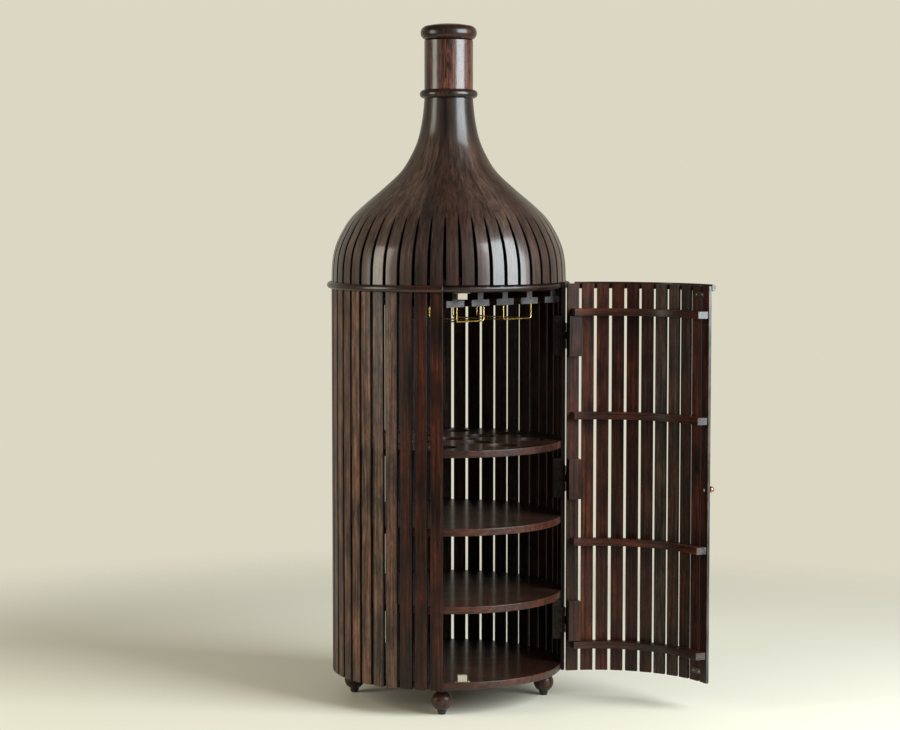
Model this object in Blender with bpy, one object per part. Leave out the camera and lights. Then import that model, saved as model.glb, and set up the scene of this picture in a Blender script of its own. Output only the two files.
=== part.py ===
"""Bottle-shaped bar cabinet: a slatted round body with shelves, a turned dome and neck, and a curved door.

Units are metres and +Z is up. The origin is the centre of the base board's underside, which the feet
stand under. A bearing is an angle in degrees seen from above: 0 is the front (-Y), and it grows towards
the right-hand side (+X). The door is modelled shut and then turned about its hinge pins.
"""

import math

import bmesh
import bpy
from mathutils import Matrix, Vector

# Clearances
SEAT = 0.0003
DOOR_TOP_GAP = 0.0048
DOOR_BOTTOM_GAP = 0.001
DOOR_SHELF_GAP = 0.001

# Round body and its slats
SLAT_R = 0.294
SLAT_COUNT = 48
SLOT_W = 0.0077
SLAT_T = 0.009
SLAT_CHAMFER = 0.0012
SLOT_BEARING = -2.0
DOOR_SLATS = 11
BODY_PANELS = ("slats_right", "slats_back_right", "slats_back_left", "slats_left")
HEAD_BAND_INSET = 0.0015
JOINT_LAP = 0.001

# Boards, and the clear height of each bay from the base board up
BOARD_T = 0.018
BAY_LOWER = 0.167
BAY_MIDDLE = 0.1715
BAY_UPPER = 0.172
BAY_BOTTLES = 0.380

# Holes of the bottle shelf: a middle one and two rings
BOTTLE_HOLE_R = 0.038
BOTTLE_RINGS = ((0.0, 1, 0.0), (0.106, 4, 40.0), (0.203, 8, -5.0))
HOLE_SIDES = 20

# Turned dome, neck and lip
DOME_H = 0.455
DOME_T = 0.022
NECK_R = 0.0608
DOME_PERCENT = (
    (100, 0), (99, 10.7), (95.5, 19.2), (88.2, 27.4), (78.2, 35.1), (63, 42.6),
    (44.8, 50.5), (25.4, 59.9), (13.9, 69.2), (6.4, 78.5), (1.9, 90), (0, 100),
)
DOME_SLOT_SPANS = 4
DOME_SLOT_TAPER_EXPONENT = 3.5
DOME_HOLLOW_SPANS = 8
DOME_FINE_ROWS = 2
NECK_BEAD_H = 0.021
NECK_BEAD_PROUD = 0.0116
NECK_TUBE_H = 0.1225
LIP_H = 0.040
LIP_PROUD = 0.0095
LIP_CROWN = 0.004
TURNED_SIDES = 36

# Half-round bead round the waist
BEAD_R = 0.0085
BEAD_PROUD = 0.0115
BEAD_BELOW_DOME = 0.0093
BEAD_STEP = 7.5
BEAD_SIDES = 6
BEAD_HINGE_CUT = 0.026

# Ball feet with plastic glides
FOOT_H = 0.0685
FOOT_INSET = 0.0437
FOOT_BEARING = -4.0
BALL_R = 0.0253
BALL_H = 0.045
FOOT_COLLAR_R = 0.0145
FOOT_NECK_R = 0.0115
GLIDE_H = 0.011
GLIDE_TOP_R = 0.0115
GLIDE_BOTTOM_R = 0.009
TENON_R = 0.008
TENON_H = 0.012
TENON_CLEARANCE = 0.0004
FOOT_SIDES = 18
GLIDE_SIDES = 12
PLINTH_CLEARANCE = 0.0015
FOOT_NAMES = ("front", "right", "back", "left")

# Stemware rails and the brass wires under them
RAIL_BEARING = 45.0
RAIL_COUNT = 5
RAIL_PITCH = 0.0868
RAIL_RIM_GAP = 0.001
FLANGE_W = 0.062
FLANGE_H = 0.016
WEB_W = 0.020
WEB_H = 0.020
WIRE_R = 0.00175
WIRE_DROP = 0.0355
WIRE_SETBACK = 0.008
WIRE_LENGTH = 0.182
WIRE_BEND_R = 0.006
WIRE_BEND_STEPS = 3
WIRE_JOINT_SHIFT = 0.0004
WIRE_LEFT_SHIFTS = (0.0121, 0.0188)
WIRE_RIGHT_SHIFTS = (0.0016, 0.0133)

# Ribs on the inside of the door, each placed from the board nearest to it
RIB_DEPTH = 0.028
RIB_H = 0.018
RIB_BELOW_TOP_BOARD = 0.057
RIB_ABOVE_BOTTLE_SHELF = 0.0645
RIB_BELOW_MIDDLE_SHELF = 0.045
RIB_ABOVE_BASE = 0.0515
RIB_FREE_MARGIN = 0.4
RIB_HINGE_MARGIN = 2.2
RIB_STEP = 7.5

# Hinges in the gap between the door and the body
OPEN_ANGLE = 115.0
HINGE_H = 0.064
LEAF_T = 0.0012
LEAF_W = 0.024
KNUCKLE_R = 0.0032
KNUCKLE_COUNT = 3
KNUCKLE_GAP = 0.0004
PIN_R = 0.0015
PIN_RUN = 0.00025
PIN_HEAD_R = 0.0026
PIN_HEAD_H = 0.0016
PIN_SIDES = 8
KNUCKLE_SIDES = 12
HINGE_BLOCK_H = 0.100
HINGE_BLOCK_DEPTH = 0.022
HINGE_BLOCK_LAP = 0.002
HINGE_BLOCK_GAP = 0.001
HINGE_BLOCK_SETBACK = 0.0004

# Magnetic catches and the strike plates on the door
CATCH_BEARING = 6.75
CATCH_W = 0.023
CATCH_D = 0.015
CATCH_H = 0.0145
CATCH_PLATE_W = 0.038
CATCH_PLATE_D = 0.013
CATCH_PLATE_T = 0.0012
CATCH_GAP = 0.0008
STRIKE_W = 0.034
STRIKE_H = 0.014
STRIKE_T = 0.001

# Knob
KNOB_DROP = 0.011
KNOB_BALL_R = 0.008
KNOB_NECK_R = 0.0042
KNOB_NECK_L = 0.003
KNOB_SCREW_R = 0.0019
KNOB_SCREW_IN = 0.008
KNOB_SCREW_HEAD_R = 0.0042
KNOB_SCREW_HEAD_H = 0.002
KNOB_SCREW_CLEARANCE = 0.0004
KNOB_SIDES = 16

# Places worked out from the sizes above
PITCH = 360.0 / SLAT_COUNT
SLAT_W = 2 * SLAT_R * math.sin(math.radians(PITCH / 2)) - SLOT_W
SLAT_INNER = SLAT_R - SLAT_T
BOARD_R = SLAT_INNER - SEAT
DOOR_INNER = BOARD_R + DOOR_SHELF_GAP
DOOR_SLAT_T = SLAT_R - DOOR_INNER
HINGE_BEARING = SLOT_BEARING + DOOR_SLATS * PITCH
HALF_SLOT = math.degrees(SLOT_W / 2 / SLAT_R)
FOOT_RING_R = BOARD_R - FOOT_INSET
SLAT_EDGE_TO_PIN = SLAT_R * math.sin(math.radians(PITCH / 2)) - SLAT_W / 2
DOOR_FREE = SLOT_BEARING + HALF_SLOT
DOOR_HINGE = HINGE_BEARING - HALF_SLOT
LOWER_SHELF_Z = BOARD_T + BAY_LOWER
MIDDLE_SHELF_Z = LOWER_SHELF_Z + BOARD_T + BAY_MIDDLE
BOTTLE_SHELF_Z = MIDDLE_SHELF_Z + BOARD_T + BAY_UPPER
TOP_BOARD_Z = BOTTLE_SHELF_Z + BOARD_T + BAY_BOTTLES
SLAT_TOP = TOP_BOARD_Z + BOARD_T
DOME_Z = SLAT_TOP + SEAT
DOOR_TOP = DOME_Z - DOOR_TOP_GAP
DOOR_BOTTOM = DOOR_BOTTOM_GAP
NECK_BEAD_Z = DOME_Z + DOME_H + SEAT
NECK_TUBE_Z = NECK_BEAD_Z + NECK_BEAD_H + SEAT
LIP_Z = NECK_TUBE_Z + NECK_TUBE_H + SEAT
BEAD_Z = DOME_Z - BEAD_BELOW_DOME
BEAD_CUT_ANGLE = math.degrees(BEAD_HINGE_CUT / SLAT_R)
HEAD_BAND_H = 2 * (SLAT_TOP - HEAD_BAND_INSET - BEAD_Z)
RIB_HEIGHTS = (
    TOP_BOARD_Z - RIB_BELOW_TOP_BOARD,
    BOTTLE_SHELF_Z + BOARD_T + RIB_ABOVE_BOTTLE_SHELF,
    MIDDLE_SHELF_Z - RIB_BELOW_MIDDLE_SHELF,
    BOARD_T + RIB_ABOVE_BASE,
)
HINGE_TOP = RIB_HEIGHTS[0] - RIB_H / 2 - HINGE_BLOCK_GAP - HINGE_BLOCK_H / 2
HINGE_BOTTOM = RIB_HEIGHTS[3] + RIB_H / 2 + HINGE_BLOCK_GAP + HINGE_BLOCK_H / 2
HINGE_HEIGHTS = (("top", HINGE_TOP), ("middle", (HINGE_TOP + HINGE_BOTTOM) / 2), ("bottom", HINGE_BOTTOM))
RACK_HALF_W = ((RAIL_COUNT - 1) * RAIL_PITCH + FLANGE_W) / 2
RAIL_END = math.sqrt((BOARD_R - RAIL_RIM_GAP) ** 2 - RACK_HALF_W ** 2)
WIRE_FRONT = RAIL_END - WIRE_SETBACK
FULL_TURN = 2 * math.pi


def turn_of(bearing):
    """Angle about Z that points a piece's local +X outwards at a bearing."""
    return math.radians(bearing) - math.pi / 2


def polar(radius, bearing, z=0.0):
    """Point at a radius and bearing round the cabinet's axis."""
    angle = turn_of(bearing)
    return Vector((radius * math.cos(angle), radius * math.sin(angle), z))


def facing(bearing, outwards=0.0, sideways=0.0, z=0.0):
    """Matrix that stands a piece on a bearing, moved outwards and then sideways towards larger bearings."""
    return Matrix.Rotation(turn_of(bearing), 4, "Z") @ Matrix.Translation((outwards, sideways, z))


def circumscribed(radius, step_degrees):
    """Radius of the corners of a faceted ring whose flats stay outside a radius."""
    return radius / math.cos(math.radians(step_degrees / 2))


def clear_scene():
    for obj in list(bpy.data.objects):
        bpy.data.objects.remove(obj, do_unlink=True)


def make_material(name, colour, roughness, metallic=0.0):
    material = bpy.data.materials.new(name)
    material.use_nodes = True
    shader = material.node_tree.nodes["Principled BSDF"]
    shader.inputs["Base Color"].default_value = (*colour, 1.0)
    shader.inputs["Roughness"].default_value = roughness
    shader.inputs["Metallic"].default_value = metallic
    return material


def finish_mesh(bm, name):
    """Turn a bmesh into a mesh with outward faces and round stretches shaded smooth."""
    bmesh.ops.recalc_face_normals(bm, faces=bm.faces)
    mesh = bpy.data.meshes.new(name)
    bm.to_mesh(mesh)
    bm.free()
    mesh.shade_smooth()
    mesh.set_sharp_from_angle(angle=math.radians(35))
    return mesh


def place_mesh(name, mesh, matrix, door):
    """Add an object. A door piece gets its shut place as matrix, and rides on the door's axis."""
    obj = bpy.data.objects.new(name, mesh)
    bpy.context.collection.objects.link(obj)
    place = matrix or Matrix.Identity(4)
    if door:
        place = Matrix.Translation(-Vector(door.location)) @ place
        obj.parent = door
    obj.matrix_local = place
    return obj


def add_object(name, mesh, material, matrix=None, door=None):
    obj = place_mesh(name, mesh, matrix, door)
    mesh.materials.clear()
    mesh.materials.append(material)
    return obj


def add_helper(name, mesh, matrix=None, door=None):
    """Add a guide shape that a Boolean reads and the build leaves out."""
    helper = place_mesh(name, mesh, matrix, door)
    helper.hide_render = True
    helper.display_type = "WIRE"
    return helper


def add_cutter(name, bm, matrix=None, door=None):
    return add_helper(name, finish_mesh(bm, name), matrix, door)


def boolean(obj, other, operation):
    modifier = obj.modifiers.new(other.name, "BOOLEAN")
    modifier.operation = operation
    modifier.solver = "EXACT"
    modifier.object = other


def evaluated_mesh(obj):
    """Mesh of an object with its modifiers, or a curve's bevel, applied."""
    graph = bpy.context.evaluated_depsgraph_get()
    return bpy.data.meshes.new_from_object(obj.evaluated_get(graph), depsgraph=graph)


def repeated(base, matrices):
    """Bmesh holding one copy of a base bmesh for each matrix. The base is used up."""
    mesh = bpy.data.meshes.new("repeat_source")
    base.to_mesh(mesh)
    base.free()
    out = bmesh.new()
    for matrix in matrices:
        copy = mesh.copy()
        copy.transform(matrix)
        out.from_mesh(copy)
        bpy.data.meshes.remove(copy)
    bpy.data.meshes.remove(mesh)
    return out


def lathe(profile, sides):
    """Solid turned about Z from (radius, height) points that start and end on the axis."""
    bm = bmesh.new()
    verts = [bm.verts.new((radius, 0.0, z)) for radius, z in profile]
    edges = [bm.edges.new(pair) for pair in zip(verts, verts[1:])]
    bmesh.ops.spin(
        bm, geom=verts + edges, cent=(0, 0, 0), axis=(0, 0, 1), angle=FULL_TURN, steps=sides, use_merge=True
    )
    bmesh.ops.remove_doubles(bm, verts=bm.verts, dist=1e-6)
    bmesh.ops.dissolve_degenerate(bm, edges=bm.edges, dist=1e-7)
    return bm


def prism(outline, height):
    """Solid with an (x, y) outline, from z = 0 up to a height."""
    bm = bmesh.new()
    face = bm.faces.new([bm.verts.new((x, y, 0.0)) for x, y in outline])
    grown = bmesh.ops.extrude_face_region(bm, geom=[face])
    tops = [item for item in grown["geom"] if isinstance(item, bmesh.types.BMVert)]
    bmesh.ops.translate(bm, verts=tops, vec=(0, 0, height))
    return bm


def rod(radius, length, sides):
    """Cylinder from z = 0 up to a length."""
    return lathe([(0, 0), (radius, 0), (radius, length), (0, length)], sides)


def box(x_low, x_high, width, height):
    """Block from x_low to x_high, centred on y = 0 and z = 0."""
    bm = prism([(x_low, -width / 2), (x_high, -width / 2), (x_high, width / 2), (x_low, width / 2)], height)
    bmesh.ops.translate(bm, verts=bm.verts, vec=(0, 0, -height / 2))
    return bm


def arc_bar(section, start, end, step):
    """Bar with a closed (radius, height) section, bent round the cabinet's axis between two bearings."""
    bm = bmesh.new()
    face = bm.faces.new([bm.verts.new((radius, 0.0, z)) for radius, z in section])
    bmesh.ops.rotate(bm, verts=bm.verts, cent=(0, 0, 0), matrix=Matrix.Rotation(turn_of(start), 3, "Z"))
    steps = max(1, math.ceil((end - start) / step))
    bmesh.ops.spin(
        bm, geom=[face], cent=(0, 0, 0), axis=(0, 0, 1), angle=math.radians(end - start), steps=steps
    )
    return bm


def catmull_rom(points, rows_in_span):
    """Smooth (x, y) points through the given ones, with a number of steps for each span between two."""
    padded = [points[0], *points, points[-1]]
    out = []
    for rows, before, start, end, after in zip(rows_in_span, padded, padded[1:], padded[2:], padded[3:]):
        for row in range(rows):
            t = row / rows
            out.append(
                tuple(
                    0.5 * (2 * b + (c - a) * t + (2 * a - 5 * b + 4 * c - d) * t * t
                           + (3 * b - a - 3 * c + d) * t ** 3)
                    for a, b, c, d in zip(before, start, end, after)
                )
            )
    out.append(points[-1])
    return out


def arc_points(centre, radius_x, radius_z, start, end, steps):
    """Points of an ellipse arc in a (radius, height) profile, from one angle to another in degrees."""
    angles = [math.radians(start + (end - start) * i / steps) for i in range(steps + 1)]
    return [(centre[0] + radius_x * math.cos(a), centre[1] + radius_z * math.sin(a)) for a in angles]


def slat_blank(thickness, bottom, top):
    """Slat with a gently rounded outer face. Its local origin is the middle of that face, and +X is out."""
    half = SLAT_W / 2
    bulge = SLAT_R - math.sqrt(SLAT_R ** 2 - half ** 2)
    outline = [
        (-thickness, -half), (-bulge - SLAT_CHAMFER, -half), (-bulge, -half + SLAT_CHAMFER), (0.0, 0.0),
        (-bulge, half - SLAT_CHAMFER), (-bulge - SLAT_CHAMFER, half), (-thickness, half),
    ]
    bm = prism(outline, top - bottom)
    bmesh.ops.translate(bm, verts=bm.verts, vec=(0, 0, bottom))
    return bm


def slat_bearing(index):
    """Bearing of the middle of a slat. Slats 0 to DOOR_SLATS - 1 are the door's, from its free edge."""
    return SLOT_BEARING + (index + 0.5) * PITCH


def disc_blank():
    """Board whose edge is cut to a flat for each slat, with its corners at the slots."""
    corner_r = circumscribed(BOARD_R, PITCH)
    return prism([polar(corner_r, SLOT_BEARING + i * PITCH).xy for i in range(SLAT_COUNT)], BOARD_T)


def foot_bearing(index):
    return FOOT_BEARING + index * 360 / len(FOOT_NAMES)


def build_boards(wood):
    """Base board, three shelves and the board under the dome.

    A ring of edges marks the flat of the base board's underside that lies clear between the feet.
    """
    blank = disc_blank()
    blank.normal_update()
    underside = min(blank.faces, key=lambda face: face.calc_center_median().z)
    clear_r = FOOT_RING_R - FOOT_COLLAR_R - PLINTH_CLEARANCE
    bmesh.ops.inset_region(blank, faces=[underside], thickness=BOARD_R - clear_r)
    base = add_object("base_board", finish_mesh(blank, "base_board"), wood)
    bores = repeated(
        rod(TENON_R + TENON_CLEARANCE, TENON_H + SEAT + BOARD_T, GLIDE_SIDES),
        [Matrix.Translation(polar(FOOT_RING_R, foot_bearing(i), -BOARD_T)) for i in range(len(FOOT_NAMES))],
    )
    boolean(base, add_cutter("foot_bores", bores), "DIFFERENCE")
    for name, z in (
        ("shelf_lower", LOWER_SHELF_Z), ("shelf_middle", MIDDLE_SHELF_Z), ("top_board", TOP_BOARD_Z),
    ):
        add_object(name, finish_mesh(disc_blank(), name), wood, Matrix.Translation((0, 0, z)))
    place = Matrix.Translation((0, 0, BOTTLE_SHELF_Z))
    bottle_shelf = add_object("bottle_shelf", finish_mesh(disc_blank(), "bottle_shelf"), wood, place)
    places = [
        Matrix.Translation(polar(radius, first + i * 360 / count, BOTTLE_SHELF_Z - BOARD_T))
        for radius, count, first in BOTTLE_RINGS
        for i in range(count)
    ]
    holes = repeated(rod(BOTTLE_HOLE_R, 3 * BOARD_T, HOLE_SIDES), places)
    boolean(bottle_shelf, add_cutter("bottle_holes", holes), "DIFFERENCE")


def square_section(inner, outer, z, height):
    """Corners of a rectangle in (radius, height), centred on a height."""
    low = z - height / 2
    high = z + height / 2
    return [(inner, low), (outer, low), (outer, high), (inner, high)]


def build_body_panels(wood):
    """The body's fixed slats in four panels, each joined by a band that hides behind the waist bead."""
    count = (SLAT_COUNT - DOOR_SLATS - 1) // len(BODY_PANELS)
    section = square_section(SLAT_INNER + JOINT_LAP, SLAT_R - HEAD_BAND_INSET, BEAD_Z, HEAD_BAND_H)
    for panel, name in enumerate(BODY_PANELS):
        first = DOOR_SLATS + 1 + panel * count
        places = [facing(slat_bearing(first + i), SLAT_R) for i in range(count)]
        slats = add_object(name, finish_mesh(repeated(slat_blank(SLAT_T, 0.0, SLAT_TOP), places), name), wood)
        band = arc_bar(section, slat_bearing(first), slat_bearing(first + count - 1), PITCH)
        boolean(slats, add_cutter(f"{name}_band", band), "UNION")


def bead_section():
    """D-shaped section whose flat back lies on the slats."""
    back = circumscribed(SLAT_R + SEAT, BEAD_STEP)
    centre = SLAT_R + BEAD_PROUD - BEAD_R
    limit = math.degrees(math.acos((back - centre) / BEAD_R))
    return arc_points((centre, BEAD_Z), BEAD_R, BEAD_R, -limit, limit, BEAD_SIDES)


def build_waist_bead(wood):
    start = HINGE_BEARING + BEAD_CUT_ANGLE
    end = 360 + SLOT_BEARING - HALF_SLOT
    add_object("waist_bead", finish_mesh(arc_bar(bead_section(), start, end, BEAD_STEP), "waist_bead"), wood)


def dome_profiles():
    """Outer and inner (radius, height) rows of the dome, from its foot up."""
    spans = len(DOME_PERCENT) - 1
    rows_in_span = [1] * DOME_SLOT_SPANS + [DOME_FINE_ROWS] * (spans - DOME_SLOT_SPANS)
    shape = catmull_rom(DOME_PERCENT, rows_in_span)
    spread = (SLAT_R - NECK_R) / 100
    rise = DOME_H / 100
    outer = [(NECK_R + spread * u, DOME_Z + rise * v) for u, v in shape]
    knots = [(NECK_R + spread * u, DOME_Z + rise * v) for u, v in DOME_PERCENT]
    inner = []
    for i in range(DOME_HOLLOW_SPANS + 1):
        along = (Vector(knots[i + 1]) - Vector(knots[i - 1])).normalized() if i else Vector((0, 1))
        inner.append((knots[i][0] - DOME_T * along.y, knots[i][1] + DOME_T * along.x))
    return outer, inner


def build_dome(wood):
    """Hollow dome, cut into staves by slots that narrow upwards to a point."""
    outer, inner = dome_profiles()
    bm = bmesh.new()

    def ring_row(profile, i):
        """Vertices of one row: a left and right edge for each stave, or one vertex above the slots."""
        radius, z = profile[i]
        open_half = 0.0
        if i < DOME_SLOT_SPANS:
            open_half = HALF_SLOT * (1 - (i / DOME_SLOT_SPANS) ** DOME_SLOT_TAPER_EXPONENT)
        row = []
        for stave in range(SLAT_COUNT):
            left = SLOT_BEARING + stave * PITCH
            if open_half:
                row.append((bm.verts.new(polar(radius, left + open_half, z)),
                            bm.verts.new(polar(radius, left + PITCH - open_half, z))))
            else:
                row.append(bm.verts.new(polar(radius, left, z)))
        if open_half:
            return row
        return [(row[stave], row[(stave + 1) % SLAT_COUNT]) for stave in range(SLAT_COUNT)]

    outer_rows = [ring_row(outer, i) for i in range(len(outer))]
    inner_rows = [ring_row(inner, i) for i in range(len(inner))]
    for rows in (outer_rows, inner_rows):
        for low, high in zip(rows, rows[1:]):
            for (a, b), (c, d) in zip(low, high):
                bm.faces.new((a, b, d, c))
        bm.faces.new([pair[0] for pair in rows[-1]])
    for stave in range(SLAT_COUNT):
        for side in range(2):
            for i in range(DOME_SLOT_SPANS):
                bm.faces.new((
                    outer_rows[i][stave][side], outer_rows[i + 1][stave][side],
                    inner_rows[i + 1][stave][side], inner_rows[i][stave][side],
                ))
        bm.faces.new((*outer_rows[0][stave], *reversed(inner_rows[0][stave])))
    add_object("dome_shell", finish_mesh(bm, "dome_shell"), wood)


def build_neck(wood, neck_wood):
    """Turned collar, neck and lip, each standing on the one below."""
    bead_r = NECK_BEAD_H / 2
    bead_centre = NECK_R + NECK_BEAD_PROUD - bead_r
    bead = [(0, 0), *arc_points((bead_centre, bead_r), bead_r, bead_r, -90, 90, 6), (0, NECK_BEAD_H)]
    tube = [(0, 0), (NECK_R, 0), (NECK_R, NECK_TUBE_H), (0, NECK_TUBE_H)]
    side_h = LIP_H - LIP_CROWN
    lip_r = side_h / 2
    lip_centre = NECK_R + LIP_PROUD - lip_r
    lip = [(0, 0), *arc_points((lip_centre, lip_r), lip_r, lip_r, -90, 90, 7), (0, LIP_H)]
    for name, profile, z, material in (
        ("neck_bead", bead, NECK_BEAD_Z, wood), ("neck_tube", tube, NECK_TUBE_Z, neck_wood),
        ("neck_lip", lip, LIP_Z, wood),
    ):
        mesh = finish_mesh(lathe(profile, TURNED_SIDES), name)
        add_object(name, mesh, material, Matrix.Translation((0, 0, z)))


def build_feet(wood, plastic):
    """Four turned ball feet, each with a tenon up into the base board and a glide below."""
    ball_low = GLIDE_H + SEAT - FOOT_H
    ball_mid = ball_low + BALL_H / 2
    flat = math.degrees(math.acos(GLIDE_TOP_R / BALL_R))
    neck = math.degrees(math.acos(FOOT_NECK_R / BALL_R))
    ball_half = BALL_H / 2 / math.sin(math.radians(flat))
    foot = [
        (0, TENON_H), (TENON_R, TENON_H), (TENON_R, -SEAT), (FOOT_COLLAR_R, -SEAT),
        *reversed(arc_points((0, ball_mid), BALL_R, ball_half, -flat, neck, 7)),
        (0, ball_low),
    ]
    glide = [(0, -FOOT_H), (GLIDE_BOTTOM_R, -FOOT_H), (GLIDE_TOP_R, ball_low - SEAT), (0, ball_low - SEAT)]
    for i, name in enumerate(FOOT_NAMES):
        place = Matrix.Translation(polar(FOOT_RING_R, foot_bearing(i)))
        add_object(f"foot_{name}", finish_mesh(lathe(foot, FOOT_SIDES), f"foot_{name}"), wood, place)
        add_object(f"glide_{name}", finish_mesh(lathe(glide, GLIDE_SIDES), f"glide_{name}"), plastic, place)


def rail_offset(index):
    """Sideways place of a rail, counted from the middle of the rack."""
    return (index - (RAIL_COUNT - 1) / 2) * RAIL_PITCH


def build_rails(wood):
    """Upside-down T rails that hold stemware by its foot, hung from the top board."""
    low = TOP_BOARD_Z - SEAT - WEB_H - FLANGE_H
    outline = [
        (-FLANGE_W / 2, 0), (FLANGE_W / 2, 0), (FLANGE_W / 2, FLANGE_H), (WEB_W / 2, FLANGE_H),
        (WEB_W / 2, FLANGE_H + WEB_H), (-WEB_W / 2, FLANGE_H + WEB_H), (-WEB_W / 2, FLANGE_H),
        (-FLANGE_W / 2, FLANGE_H),
    ]
    for i in range(RAIL_COUNT):
        bm = prism(outline, 2 * RAIL_END)
        stand_up = Matrix(((0, 0, 1, 0), (1, 0, 0, 0), (0, 1, 0, 0), (0, 0, 0, 1)))
        bmesh.ops.transform(bm, matrix=stand_up, verts=bm.verts)
        name = f"glass_rail_{i + 1}"
        place = facing(RAIL_BEARING, -RAIL_END, rail_offset(i), low)
        add_object(name, finish_mesh(bm, name), wood, place)


def rounded_path(corners, radius, steps):
    """Points along straight runs between corners, with an arc at each inner corner."""
    points = [Vector(corners[0])]
    for before, corner, after in zip(corners, corners[1:], corners[2:]):
        corner = Vector(corner)
        back = (Vector(before) - corner).normalized()
        ahead = (Vector(after) - corner).normalized()
        centre = corner + (back + ahead) * radius
        for i in range(steps + 1):
            angle = math.pi / 2 * i / steps
            points.append(centre - ahead * radius * math.cos(angle) - back * radius * math.sin(angle))
    points.append(Vector(corners[-1]))
    return points


def wire_mesh(name, corners):
    """Round wire along straight runs with rounded corners."""
    curve = bpy.data.curves.new(name, "CURVE")
    curve.dimensions = "3D"
    curve.bevel_depth = WIRE_R
    curve.bevel_resolution = 1
    curve.use_fill_caps = True
    points = rounded_path(corners, WIRE_BEND_R, WIRE_BEND_STEPS)
    spline = curve.splines.new("POLY")
    spline.points.add(len(points) - 1)
    for slot, point in zip(spline.points, points):
        slot.co = (*point, 1.0)
    helper = bpy.data.objects.new(name, curve)
    bpy.context.collection.objects.link(helper)
    mesh = evaluated_mesh(helper)
    bpy.data.objects.remove(helper, do_unlink=True)
    return mesh


def build_wires(brass):
    """Two brass hangers: a hoop across the front, and a wire that runs back along each side and turns up."""
    top = TOP_BOARD_Z - WEB_H - FLANGE_H - 2 * SEAT
    low = top - WIRE_DROP
    back = WIRE_FRONT - WIRE_LENGTH
    level = low + WIRE_JOINT_SHIFT
    place = facing(RAIL_BEARING)
    for name, left_rail, shifts in (
        ("wire_hanger_left", 0, WIRE_LEFT_SHIFTS), ("wire_hanger_right", 2, WIRE_RIGHT_SHIFTS),
    ):
        left = rail_offset(left_rail) + shifts[0]
        right = rail_offset(left_rail + 1) + shifts[1]
        hoop = [(WIRE_FRONT, side, z) for side, z in ((left, top), (left, low), (right, low), (right, top))]
        hanger = add_object(name, wire_mesh(name, hoop), brass, place)
        for label, side in (("left", left + WIRE_BEND_R), ("right", right - WIRE_BEND_R)):
            path = [(WIRE_FRONT, side, level), (back, side, level), (back, side, top)]
            run = add_helper(f"{name}_{label}", wire_mesh(f"{name}_{label}", path), place)
            boolean(hanger, run, "UNION")


def catch_boards():
    """Each catch's name, its board's face, and +1 where it stands on the board or -1 where it hangs."""
    return (("top", TOP_BOARD_Z, -1), ("bottom", BOARD_T, 1))


def strike_plane():
    """Distance from the axis to the back of a strike plate laid across two slats."""
    return DOOR_INNER * math.cos(STRIKE_W / 2 / DOOR_INNER) - SEAT


def catch_middle(face, up):
    """Height of the middle of a catch's block."""
    return face + up * (2 * SEAT + CATCH_PLATE_T + CATCH_H / 2)


def build_catches(cream, steel):
    """Magnetic catches inside the opening, each a block on a wider plate."""
    front = strike_plane() - STRIKE_T - CATCH_GAP
    for name, face, up in catch_boards():
        block = finish_mesh(box(-CATCH_D, 0, CATCH_W, CATCH_H), f"catch_block_{name}")
        place = facing(CATCH_BEARING, front, 0, catch_middle(face, up))
        add_object(f"catch_block_{name}", block, cream, place)
        plate = finish_mesh(
            box(-CATCH_PLATE_D / 2, CATCH_PLATE_D / 2, CATCH_PLATE_W, CATCH_PLATE_T), f"catch_plate_{name}"
        )
        middle = face + up * (SEAT + CATCH_PLATE_T / 2)
        add_object(f"catch_plate_{name}", plate, steel, facing(CATCH_BEARING, front - CATCH_D / 2, 0, middle))


def leaf_outline(knuckles):
    """Comb outline of a hinge leaf in (outwards, up), with a tooth out to each of its knuckles."""
    knuckle_h = HINGE_H / KNUCKLE_COUNT
    root = -KNUCKLE_R - 2 * KNUCKLE_GAP
    outline = [(-LEAF_W, 0.0)]
    for i in range(KNUCKLE_COUNT):
        low = i * knuckle_h + (KNUCKLE_GAP if i else 0.0)
        high = (i + 1) * knuckle_h - (KNUCKLE_GAP if i < KNUCKLE_COUNT - 1 else 0.0)
        reach = 0.0 if i in knuckles else root
        outline += [(reach, low), (reach, high)]
    outline.append((-LEAF_W, HINGE_H))
    return outline


def pin_core(name):
    """Hinge pin with a small button at each end."""
    half = HINGE_H / 2 - KNUCKLE_GAP / 2
    profile = [
        (0, -half - PIN_HEAD_H), (0.6 * PIN_HEAD_R, -half - PIN_HEAD_H), (PIN_HEAD_R, -half), (PIN_R, -half),
        (PIN_R, half), (PIN_HEAD_R, half), (0.6 * PIN_HEAD_R, half + PIN_HEAD_H), (0, half + PIN_HEAD_H),
    ]
    return add_cutter(f"{name}_pin", lathe(profile, PIN_SIDES))


def pin_bore(name):
    bore = rod(PIN_R + PIN_RUN, 2 * HINGE_H, PIN_SIDES)
    bmesh.ops.translate(bore, verts=bore.verts, vec=(0, 0, -HINGE_H))
    return add_cutter(f"{name}_bore", bore)


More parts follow.
